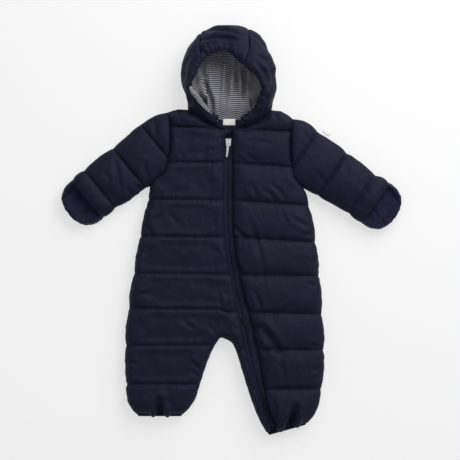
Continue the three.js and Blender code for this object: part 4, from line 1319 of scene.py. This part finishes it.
@dataclass
class Hood:
    """The hood's three panels and its striped lining, with the hood's middle, neck and ends."""

    tailor: Tailor
    wardrobe: Wardrobe
    centre: tuple[float, float] = (-2.0, 248.0)
    nape: float = 185.5
    nape_half: float = 39.0
    flare: float = 0.45
    collar: float = 138.0
    base: float = 15.8
    right_end: float = -163.0
    left_end: float = 161.0
    wall_rows: int = 34
    lining_thickness: float = 0.0008

    def __post_init__(self) -> None:
        """Makes the curves of the rim and of the profile."""
        angle = HOOD_RIM["angle"]
        self.outer, self.face, self.high = (smooth(angle, HOOD_RIM[k]) for k in ("outer", "face", "high"))
        row = HOOD_SHAPE["row"]
        self.shape = {k: smooth(row, HOOD_SHAPE[k]) for k in ("out", "up", "neck_out", "neck_up")}

    def profile(self, angle: Array, row: Array, inward: float) -> Array:
        """Wall points at angles and profile rows.

        Args:
            angle: degrees from the crown, positive to the wearer's left.
            row: the place on the profile, from 0 under the head to 9 at the face edge.
            inward: how far inside the outer face, in millimetres.

        Returns:
            the points.
        """
        neck = step(106, 126, np.abs(angle))

        def flat(rows: Array) -> tuple[Array, Array]:
            """Radius and height of the profile."""
            rows = np.clip(rows, 0, 9)
            outer, face, high = self.outer(angle), self.face(angle), self.high(angle)
            flare = self.flare * neck * (1 - step(0, 3.5, rows)) * (inward < 8)
            out = mix(self.shape["out"](rows), self.shape["neck_out"](rows), neck) + flare
            free = self.shape["up"](rows) * high
            stood = self.base + self.shape["neck_up"](rows) * (high - self.base)
            return face + out * (outer - face), mix(free, stood, neck)

        radius, z = flat(row)
        before, after = flat(row - 0.2), flat(row + 0.2)
        dr, dz = after[0] - before[0], after[1] - before[1]
        size = np.maximum(np.hypot(dr, dz), 1e-6)
        slim = np.minimum(1, (self.outer(angle) - self.face(angle)) / 24)
        depth = inward * slim * (1 - 0.55 * step(6, 9, row)) * (1 - 0.5 * neck)
        radius, z = radius - dz / size * depth, z + dr / size * depth
        turn = np.radians(angle)
        over = np.clip(row / 9, 0, 1) ** 2
        radius = radius - 2.0 * over
        y = self.centre[1] + radius * np.cos(turn) - 3.0 * over * step(130, 80, np.abs(angle))
        return np.stack([self.centre[0] + radius * np.sin(turn), y, z], -1)

    def seam(self, side: Side, row: Array) -> Array:
        """The angle of the seam between the middle panel and a side panel."""
        ends = (-28.7, -48.0) if side is Side.RIGHT else (19.5, 36.0)
        return mix(ends[0], ends[1], step(3, 9, row))

    def closing(self, angle: Array) -> Array:
        """Share by which the floor has ended, where the wall stands on the neckline."""
        return step(self.collar - 3, self.collar + 3, np.abs(angle))

    def floor(self, arc: Array, angle: Array, panel: str, share: Array, height: float) -> Array:
        """Points of the part under the head, between the wall's foot and the panel's inner line.

        Args:
            arc: the wall's foot.
            angle: the columns' angles.
            panel: center, right or left.
            share: 0 at the inner line and 1 at the wall's foot.
            height: the floor's height.

        Returns:
            the points.
        """
        if panel == "center":
            across = np.linspace(-self.nape_half, self.nape_half, arc.shape[-2])
            target = np.stack(np.broadcast_arrays(across, self.nape), -1)
        else:
            side = Side.RIGHT if panel == "right" else Side.LEFT
            seam = float(self.seam(side, np.array(0.0)))
            top = arc[..., -1 if side is Side.RIGHT else 0, :2]
            nape = np.array([side.value * self.nape_half, self.nape])
            down = np.clip((np.abs(angle) - abs(seam)) / (self.collar - abs(seam)), 0, 1)[0]
            target = mix(top[..., None, :], nape, down[:, None])
            target = mix(target, arc[..., :2], self.closing(angle[0])[:, None])
        plan = mix(target, arc[..., :2], share[..., None])
        return np.concatenate([plan, np.full(plan.shape[:-1] + (1,), height)], -1)

    def grid(self, panel: str, wall: float, foot: float, columns: int) -> tuple[Array, Array, Array]:
        """A panel's grid from its floor to the face edge: points, angles and profile rows.

        Args:
            panel: center, right or left.
            wall: how far inside the outer face the wall lies.
            foot: the floor's height.
            columns: how many columns the grid has.

        Returns:
            the points, their angles and their profile rows, below 0 on the floor.
        """
        row = np.linspace(0, 9, self.wall_rows)
        right, left = self.seam(Side.RIGHT, row), self.seam(Side.LEFT, row)
        share = np.linspace(0, 1, columns)[None]
        if panel == "center":
            angle = mix((right + 0.15)[:, None], (left - 0.15)[:, None], share)
        elif panel == "right":
            angle = mix(np.full((self.wall_rows, 1), self.right_end), (right - 0.15)[:, None], share)
        else:
            angle = mix((left + 0.15)[:, None], np.full((self.wall_rows, 1), self.left_end), share)
        rows = np.repeat(row[:, None], columns, 1)
        walls = self.profile(angle, rows, wall)
        walls[..., 2] = np.maximum(walls[..., 2], foot)
        floor_share = np.linspace(0, 1, 16 if panel == "center" else 6)[:-1, None] * np.ones((1, columns))
        first = self.profile(angle[:1], rows[:1] * 0, wall)[0]
        floors = self.floor(np.repeat(first[None], len(floor_share), 0), angle[:1], panel, floor_share, foot)
        if panel != "center":
            floors[..., 2] = mix(floors[..., 2], first[None, :, 2], self.closing(angle[0])[None])
        points = np.concatenate([floors, walls])
        angles = np.concatenate([np.repeat(angle[:1], len(floor_share), 0), angle])
        return points, angles, np.concatenate([floor_share - 1, rows])

    def panel(self, name: str) -> None:
        """Builds one padded panel."""
        columns = {"center": 27, "right": 60, "left": 62}[name]
        outer, angle, row = self.grid(name, 0.0, 0.0, columns)
        inner, _, _ = self.grid(name, 7.0, 7.6, columns)
        place = np.arange(columns)
        edge_share = np.minimum(place, columns - 1 - place)[None] * 2.2 * np.ones_like(row)
        swell = 2.0 * (rounded(edge_share, 12) - 1) * step(1, 3, row) * (1 - step(8.2, 9, row))
        turn = np.radians(angle)
        outer[..., 0] += swell * np.sin(turn)
        outer[..., 1] += swell * np.cos(turn)
        outer[..., 2] += swell * 0.4 * step(4, 7, row)
        cells = np.ones((outer.shape[0] - 1, columns - 1), bool)
        uv = np.stack([angle * 1.5, row * 8], -1) * MM
        cloth = Cloth(outer, cells, np.zeros(row.shape), row, edge_share, uv)
        piece = self.tailor.pad(f"hood_{name}_cloth", cloth, inner)
        self.tailor.refine(piece)
        first, second = Grain(160 + columns), Grain(161 + columns)

        def gathers(
            x: Array, y: Array, z: Array, n: Array, line: Array, brim: Array, face: Array
        ) -> Array:
            """Gathers at the elastic face edge and beside the seams, quilting and folds."""
            angle = np.degrees(np.arctan2(x - self.centre[0], y - self.centre[1]))
            by_edge = np.exp(-(((line - 8.2) / 1.3) ** 2))
            elastic = by_edge * (first.at(angle / 4.4, line / 6) + 0.5 * second.at(angle / 2.3, line))
            seams = np.exp(-brim / 8) * second.at(line * 1.6, angle / 14)
            soft = first.layers(angle / 14 + 5, line / 1.7, 2)
            quilt = sum(k.height(x, y) for k in HOOD_CREASES) * step(20, 34, z)
            return face * step(0.6, 2.4, line) * (1.5 * elastic + 0.9 * seams + 1.3 * soft + quilt)

        self.tailor.press(piece, gathers, "line", "brim", "face")
        node = "hood_center" if name == "center" else f"hood_side_{name}"
        self.wardrobe.dress(piece, self.wardrobe.shell, "shell", node)

    def rolled(self, grid: Array, angle: Array, row: Array) -> Array:
        """Turns the lining's edge out over the face edge, low on the wearer's right.

        Args:
            grid: the lining's points.
            angle: their angles.
            row: their profile rows.

        Returns:
            the points, with the edge turned out.
        """
        turned = step(-160, -138, angle) * step(-84, -104, angle) * step(7.2, 7.9, row)
        share = np.clip((row - 7.4) / 1.6, 0, 1)
        over = self.profile(angle, 9 - 1.5 * share, 5 * share - 12)
        return mix(grid, over, turned[..., None])

    def lining(self) -> None:
        """Builds the striped lining as one sheet of three cut parts."""
        points, faces, places, offset = [], [], [], 0
        for panel, columns in (("right", 56), ("center", 34), ("left", 58)):
            grid, angle, row = self.grid(panel, 9.6, 8.5, columns)
            count = grid.shape[1]
            arc = grid[row[:, 0] >= 0][0]
            if panel == "right":
                grid = self.rolled(grid, angle, row)
            wall = np.maximum(row, 0)
            length = np.zeros(row.shape)
            length[1:] = np.cumsum(np.linalg.norm(np.diff(grid, axis=0), axis=-1), axis=0)
            base = length[np.argmax(row[:, 0] >= 0)]
            spread = np.where(row >= 0, length - base[None], 0)
            turn = np.radians(angle)
            u = np.where(row >= 0, arc[None, :, 0] + spread * np.sin(turn), grid[..., 0])
            v = np.where(row >= 0, arc[None, :, 1] + spread * np.cos(turn), grid[..., 1])
            lean = {"right": -35.0, "center": 0.0, "left": 35.0}[panel]
            c, s = math.cos(math.radians(lean)), math.sin(math.radians(lean))
            uv = np.stack([u * c + v * s, v * c - u * s], -1) * MM
            drawn = Grain(260 + columns).layers(grid[..., 0] / 11, grid[..., 1] / 26, 2)
            folds = sum(k.height(grid[..., 0], grid[..., 1]) for k in LINING_CREASES)
            soft = Grain(190 + columns).layers(grid[..., 0] / 16, grid[..., 1] / 20, 2) * 1.6
            free = 1 - step(98, 112, np.abs(angle))
            deep = step(190.4, 208, grid[..., 1]) * (1 - 0.7 * step(225, 280, grid[..., 1]))
            lift = 9.0 * step(1.8, 0.2, wall) * free * deep
            uv[..., 1] += (0.55 * folds + 1.5 * drawn + 1.5) * MM
            slack = (3.8 * folds + soft) * step(2.4, 0.8, wall) * free
            grid[..., 2] += lift + slack
            hide = step(148, 157, np.abs(angle)) * step(6.4, 7.0, row)
            tucked = self.profile(angle, np.clip(row, 0, 6.8), 9.5)
            grid = mix(grid, tucked - [0, 0, 1.5], hide[..., None])
            grid[..., 2] = np.maximum(grid[..., 2], 8.6)
            i, j = np.meshgrid(np.arange(grid.shape[0] - 1), np.arange(count - 1), indexing="ij")
            first = (i * count + j).ravel() + offset
            faces += np.stack([first, first + 1, first + count + 1, first + count], -1).tolist()
            points.append(grid.reshape(-1, 3))
            places.append(uv.reshape(-1, 2))
            offset += grid.shape[0] * count
        piece = self.tailor.mesh("hood_lining_cloth", np.concatenate(points), faces, np.concatenate(places))
        self.tailor.refine(piece)
        thick = piece.modifiers.new("thickness", "SOLIDIFY")
        thick.thickness = self.lining_thickness
        thick.offset = 0
        self.tailor.bake(piece)
        self.tailor.outward(piece)
        self.wardrobe.dress(piece, self.wardrobe.jersey, "jersey_lining", "hood_lining")

    def build(self) -> None:
        """Builds the three panels and the lining."""
        for name in ("center", "right", "left"):
            self.panel(name)
        self.lining()


# ---------------------------------------------------------------- zip, hems, labels
@dataclass
class Trims:
    """The zip, the hems, the neck label and the sleeve's tab. The coil's and bevels' sizes are in metres."""

    tailor: Tailor
    wardrobe: Wardrobe
    tape_low: float = 16.4
    tape_high: float = 17.2
    coil_height: float = 17.4
    coil_pitch: float = 0.00125
    tooth_radius: float = 0.00052
    tooth_length: float = 0.0047
    bevel: float = 0.00025
    hem_depths: tuple[float, float] = (-1.5, 3.4)
    hem_middle: float = 9.6
    hem_half: float = 5.2
    tab_across: tuple[float, float] = (49.0, 55.6)

    def strip(
        self, name: str, left: Array, right: Array, low: Array, high: Array, count: int = 6
    ) -> bpy.types.Object:
        """A closed strip between two lines of plan points.

        Args:
            name: the piece's name.
            left: the first line.
            right: the second line, with as many points.
            low: the underside's height at each point of the lines.
            high: the upper side's height at each point of the lines.
            count: how many points lie across the strip.

        Returns:
            the closed piece.
        """
        share = np.linspace(0, 1, count)[None, :, None]
        plan = mix(left[:, None], right[:, None], share)
        upper = np.broadcast_to(np.asarray(high)[..., None], plan.shape[:2])
        top = np.concatenate([plan, upper[..., None]], -1)
        under = top.copy()
        under[..., 2] = np.broadcast_to(np.asarray(low)[..., None], plan.shape[:2])
        cells = np.ones((plan.shape[0] - 1, count - 1), bool)
        flat = np.zeros(plan.shape[:2])
        return self.tailor.pad(name, Cloth(top, cells, flat, flat, flat + 9, plan * MM), under)

    def tapes(self) -> None:
        """The zip's two tapes, with a slight wave."""
        y = np.arange(158, -340, -3.0)
        band = np.minimum(y, 149.5)
        wave = 0.35 * Grain(210).at(y / 16, 0 * y)
        for side in Side:
            outer = np.stack([zip_x(band) + side.value * (zip_half(band) + 4), y], -1)
            inner = np.stack([coil_x(y) + side.value * 0.2, y], -1)
            low, high = self.tape_low + wave, self.tape_high + wave
            piece = self.strip(f"zip_tape_{side.word}_cloth", outer, inner, low, high)
            self.wardrobe.dress(piece, self.wardrobe.tape, "zip_tape", f"zip_tape_{side.word}")

    def along_zip(self) -> tuple[Array, Array]:
        """Points of the coil's middle line, and its length."""
        y = np.linspace(149, -339, 900)
        line = np.stack([coil_x(y), y, 0 * y + self.coil_height], -1)
        return line, np.linalg.norm(np.diff(line, axis=0), axis=1).sum()

    def coil(self) -> None:
        """The nylon coil: loops that Geometry Nodes set along the zip."""
        line, length = self.along_zip()
        curve = bpy.data.curves.new("coil_line", "CURVE")
        curve.dimensions = "3D"
        spline = curve.splines.new("POLY")
        spline.points.add(len(line) - 1)
        placed = self.tailor.place(line)
        spline.points.foreach_set("co", np.c_[placed, np.ones(len(placed))].ravel())
        rail = bpy.data.objects.new("zip_coil_loops", curve)
        bpy.context.scene.collection.objects.link(rail)
        tree = bpy.data.node_groups.new("coil_loops", "GeometryNodeTree")
        face = tree.interface
        face.new_socket("Geometry", in_out="INPUT", socket_type="NodeSocketGeometry")
        sizes = {
            "Pitch": self.coil_pitch,
            "Tooth radius": self.tooth_radius,
            "Tooth length": self.tooth_length,
        }
        sockets = {
            name: face.new_socket(name, in_out="INPUT", socket_type="NodeSocketFloat") for name in sizes
        }
        face.new_socket("Geometry", in_out="OUTPUT", socket_type="NodeSocketGeometry")
        nodes, links = tree.nodes, tree.links
        enter, leave = nodes.new("NodeGroupInput"), nodes.new("NodeGroupOutput")
        points = nodes.new("GeometryNodeCurveToPoints")
        points.mode = "LENGTH"
        tooth = nodes.new("GeometryNodeMeshCylinder")
        tooth.inputs["Vertices"].default_value = 6
        turn = nodes.new("GeometryNodeTransform")
        turn.inputs["Rotation"].default_value = (0, math.pi / 2, 0)
        shade = nodes.new("GeometryNodeSetShadeSmooth")
        put = nodes.new("GeometryNodeInstanceOnPoints")
        align = nodes.new("FunctionNodeAlignRotationToVector")
        align.axis = "Y"
        realize, paint = nodes.new("GeometryNodeRealizeInstances"), nodes.new("GeometryNodeSetMaterial")
        paint.inputs["Material"].default_value = self.wardrobe.coil
        for source, output, target, entry in (
            (enter, "Geometry", points, "Curve"),
            (enter, "Pitch", points, "Length"),
            (enter, "Tooth radius", tooth, "Radius"),
            (enter, "Tooth length", tooth, "Depth"),
            (points, "Points", put, "Points"),
            (points, "Tangent", align, "Vector"),
            (align, "Rotation", put, "Rotation"),
            (tooth, "Mesh", turn, "Geometry"),
            (turn, "Geometry", shade, "Geometry"),
            (shade, "Geometry", put, "Instance"),
            (put, "Instances", realize, "Geometry"),
            (realize, "Geometry", paint, "Geometry"),
            (paint, "Geometry", leave, "Geometry"),
        ):
            links.new(source.outputs[output], target.inputs[entry])
        modifier = rail.modifiers.new("loops", "NODES")
        modifier.node_group = tree
        for name, size in sizes.items():
            modifier[sockets[name].identifier] = size
        graph = bpy.context.evaluated_depsgraph_get()
        data = bpy.data.meshes.new_from_object(rail.evaluated_get(graph), depsgraph=graph)
        bpy.data.objects.remove(rail)
        piece = bpy.data.objects.new("zip_coil_loops", data)
        bpy.context.scene.collection.objects.link(piece)
        self.wardrobe.dress(piece, self.wardrobe.coil, "zip_coil", "zip_coil")

    @staticmethod
    def slim(data: bpy.types.Mesh) -> None:
        """Narrows the top pull's plate below its eye and leans it a little.

        Args:
            data: the pull's mesh, in metres.
        """
        points = np.empty(len(data.vertices) * 3)
        data.vertices.foreach_get("co", points)
        points = points.reshape(-1, 3)
        down = points[:, 1].max() - points[:, 1]
        middle = points[:, 0].mean()
        narrow = 1 - 0.5 * step(0.004, 0.009, down)
        points[:, 0] = middle + (points[:, 0] - middle) * narrow - 0.1 * down
        data.vertices.foreach_set("co", points.ravel())

    def metal(self) -> None:
        """Bevelled copies of the sliders and pulls."""
        looks = {"top": (self.wardrobe.silver, "slider_silver"), "low": (self.wardrobe.enamel, "slider_dark")}
        for which, (material, slot) in looks.items():
            for node, body in ((f"slider_{which}", "suit"), (f"pull_{which}", f"pull_{which}")):
                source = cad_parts[node]
                data = source.data.copy()
                data.transform(source.matrix_world)
                if node == "pull_top":
                    self.slim(data)
                bm = bmesh.new()
                bm.from_mesh(data)
                bmesh.ops.remove_doubles(bm, verts=bm.verts, dist=MERGED)
                bmesh.ops.dissolve_limit(bm, angle_limit=0.03, verts=bm.verts, edges=bm.edges)
                bmesh.ops.recalc_face_normals(bm, faces=bm.faces)
                bm.to_mesh(data)
                bm.free()
                data.materials.clear()
                data.materials.append(material)
                piece = bpy.data.objects.new(f"{node}_metal", data)
                bpy.context.scene.collection.objects.link(piece)
                bevel = piece.modifiers.new("edges", "BEVEL")
                bevel.width = self.bevel
                bevel.segments = 2
                bevel.limit_method = "ANGLE"
                bevel.harden_normals = False
                self.tailor.bake(piece)
                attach(piece, body)
                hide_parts(node)

    def hems(self) -> None:
        """The gathered elastic band at each leg's end."""
        for side in Side:
            outer = side_point(side, np.array([LAST_LINE]))[0]
            y = outer[1]
            inner = np.array([inseam_x[side](np.array([y]))[0], y])
            if side is Side.LEFT:
                low = line_y[None](np.array([LAST_LINE]))[0]
                inner = np.array([inseam_x[side](np.array([low]))[0], low - HEM_SKEW])
            share = np.linspace(0, 1, 70)
            rows = []
            ripple = Grain(230 + side.value).at(share * 16, 0 * share)
            for depth in np.linspace(*self.hem_depths, 7):
                inset = 1.2 + max(depth, 0) * 0.6
                start = outer + np.array([-side.value * inset, -depth])
                end = inner + np.array([side.value * inset, -depth])
                rows.append(mix(start[None], end[None], share[:, None]))
            plan = np.stack(rows)
            bow = np.sin(np.pi * np.linspace(0.12, 0.95, 7))[:, None]
            roll = rounded(np.minimum(share, 1 - share)[None] * 80, 12)
            middle = self.hem_middle
            half = self.hem_half * roll * (0.55 + 0.45 * bow)
            top = middle + half + 0.9 * ripple[None] * bow
            under = middle - half
            shape = top.shape
            cells = np.ones((shape[0] - 1, shape[1] - 1), bool)
            none, brim = np.zeros(shape), np.full(shape, 9.0)
            cloth = Cloth(np.dstack([plan, top]), cells, none, none, brim, plan * MM)
            piece = self.tailor.pad(f"hem_{side.word}_cloth", cloth, np.dstack([plan, under]))
            self.tailor.refine(piece)
            self.wardrobe.dress(piece, self.wardrobe.shell, "shell", f"hem_{side.word}")

    def labels(self) -> None:
        """The bare neck label and the bare tab on the left sleeve."""
        y = np.linspace(178.8, 189.6, 9)
        bend = 0.35 * np.sin(np.pi * (y - 178.8) / 10.8)
        left, right = np.stack([0 * y - 12, y], -1), np.stack([0 * y + 9, y], -1)
        piece = self.strip("neck_label_cloth", left, right, 13.35 + bend, 13.85 + bend, 12)
        self.wardrobe.dress(piece, self.wardrobe.satin, "label_satin", "neck_label")
        arm = ARMS[1]
        along = np.linspace(-117, -103, 9)
        edge = [arm.at(along, np.full(9, across)) for across in self.tab_across]
        piece = self.strip("sleeve_tab_cloth", edge[0], edge[1], 0 * along + 12.1, 0 * along + 12.8, 6)
        self.wardrobe.dress(piece, self.wardrobe.satin, "label_satin", "sleeve_tab")

    def build(self) -> None:
        """Builds every trim."""
        self.tapes()
        self.coil()
        self.metal()
        self.hems()
        self.labels()


# ---------------------------------------------------------------- stage
@dataclass(frozen=True)
class Lamp:
    """A lamp: its name, kind, place, spread (an angle for a sun, else a size) and power."""

    name: str
    kind: str
    place: tuple[float, float, float]
    spread: float
    power: float

    def add(self) -> None:
        """Adds the lamp, aimed at the origin and unseen by the camera."""
        lamp = bpy.data.lights.new(self.name, self.kind)
        lamp.energy = self.power
        setattr(lamp, "angle" if self.kind == "SUN" else "size", self.spread)
        light = bpy.data.objects.new(self.name, lamp)
        light.visible_camera = False
        light.location = self.place
        bpy.context.scene.collection.objects.link(light)
        light.rotation_euler = (-light.location).to_track_quat("-Z", "Y").to_euler()


@dataclass
class Studio:
    """A pale floor, soft light and a camera straight above the suit, in metres."""

    tailor: Tailor
    floor_size: float = 8.0
    floor_drop: float = 0.0002
    floor_shade: float = 0.3
    floor_glow: float = 0.61
    sky_glow: float = 0.44
    lens: float = 150.0
    sensor: float = 36.0
    camera_height: float = 3.288
    lamps: tuple[Lamp, ...] = (
        Lamp("key", "SUN", (1.1, 1.0, 1.1), 0.6, 0.5),
        Lamp("window", "AREA", (0.6, 1.0, 0.9), 1.1, 17.0),
        Lamp("fill", "SUN", (-1.0, 0.3, 1.6), 1.2, 0.2),
    )

    def build(self) -> None:
        """Builds the floor, the lights and the camera."""
        bpy.ops.mesh.primitive_plane_add(size=self.floor_size, location=(0, 0, -self.floor_drop))
        floor = bpy.context.object
        floor.name = "floor"
        paint = Shader("pale_floor")
        shade = (self.floor_shade,) * 3 + (1,)
        floor.data.materials.append(paint.finish(
            Base_Color=shade, Roughness=0.9, Emission_Color=(1, 1, 1, 1), Emission_Strength=self.floor_glow
        ))
        world = bpy.data.worlds.new("studio")
        bpy.context.scene.world = world
        world.use_nodes = True
        background = next(n for n in world.node_tree.nodes if n.type == "BACKGROUND")
        background.inputs["Color"].default_value = (1, 1, 1, 1)
        background.inputs["Strength"].default_value = self.sky_glow
        for lamp in self.lamps:
            lamp.add()
        data = bpy.data.cameras.new("camera")
        data.lens = self.lens
        data.sensor_width = self.sensor
        camera = bpy.data.objects.new("camera", data)
        camera.location = (self.tailor.shift[0] * MM, self.tailor.shift[1] * MM, self.camera_height)
        bpy.context.scene.collection.objects.link(camera)
        bpy.context.scene.camera = camera
        bpy.context.scene.view_settings.view_transform = "Standard"


def main() -> None:
    """Builds the suit and the stage."""
    logging.basicConfig(level=logging.INFO, format="%(name)s: %(message)s")
    tailor, wardrobe = Tailor(), Wardrobe()
    Body(tailor, wardrobe, Inflation()).build()
    Sleeves(tailor, wardrobe).build()
    Hood(tailor, wardrobe).build()
    Trims(tailor, wardrobe).build()
    Studio(tailor).build()


if __name__ == "__main__":
    main()
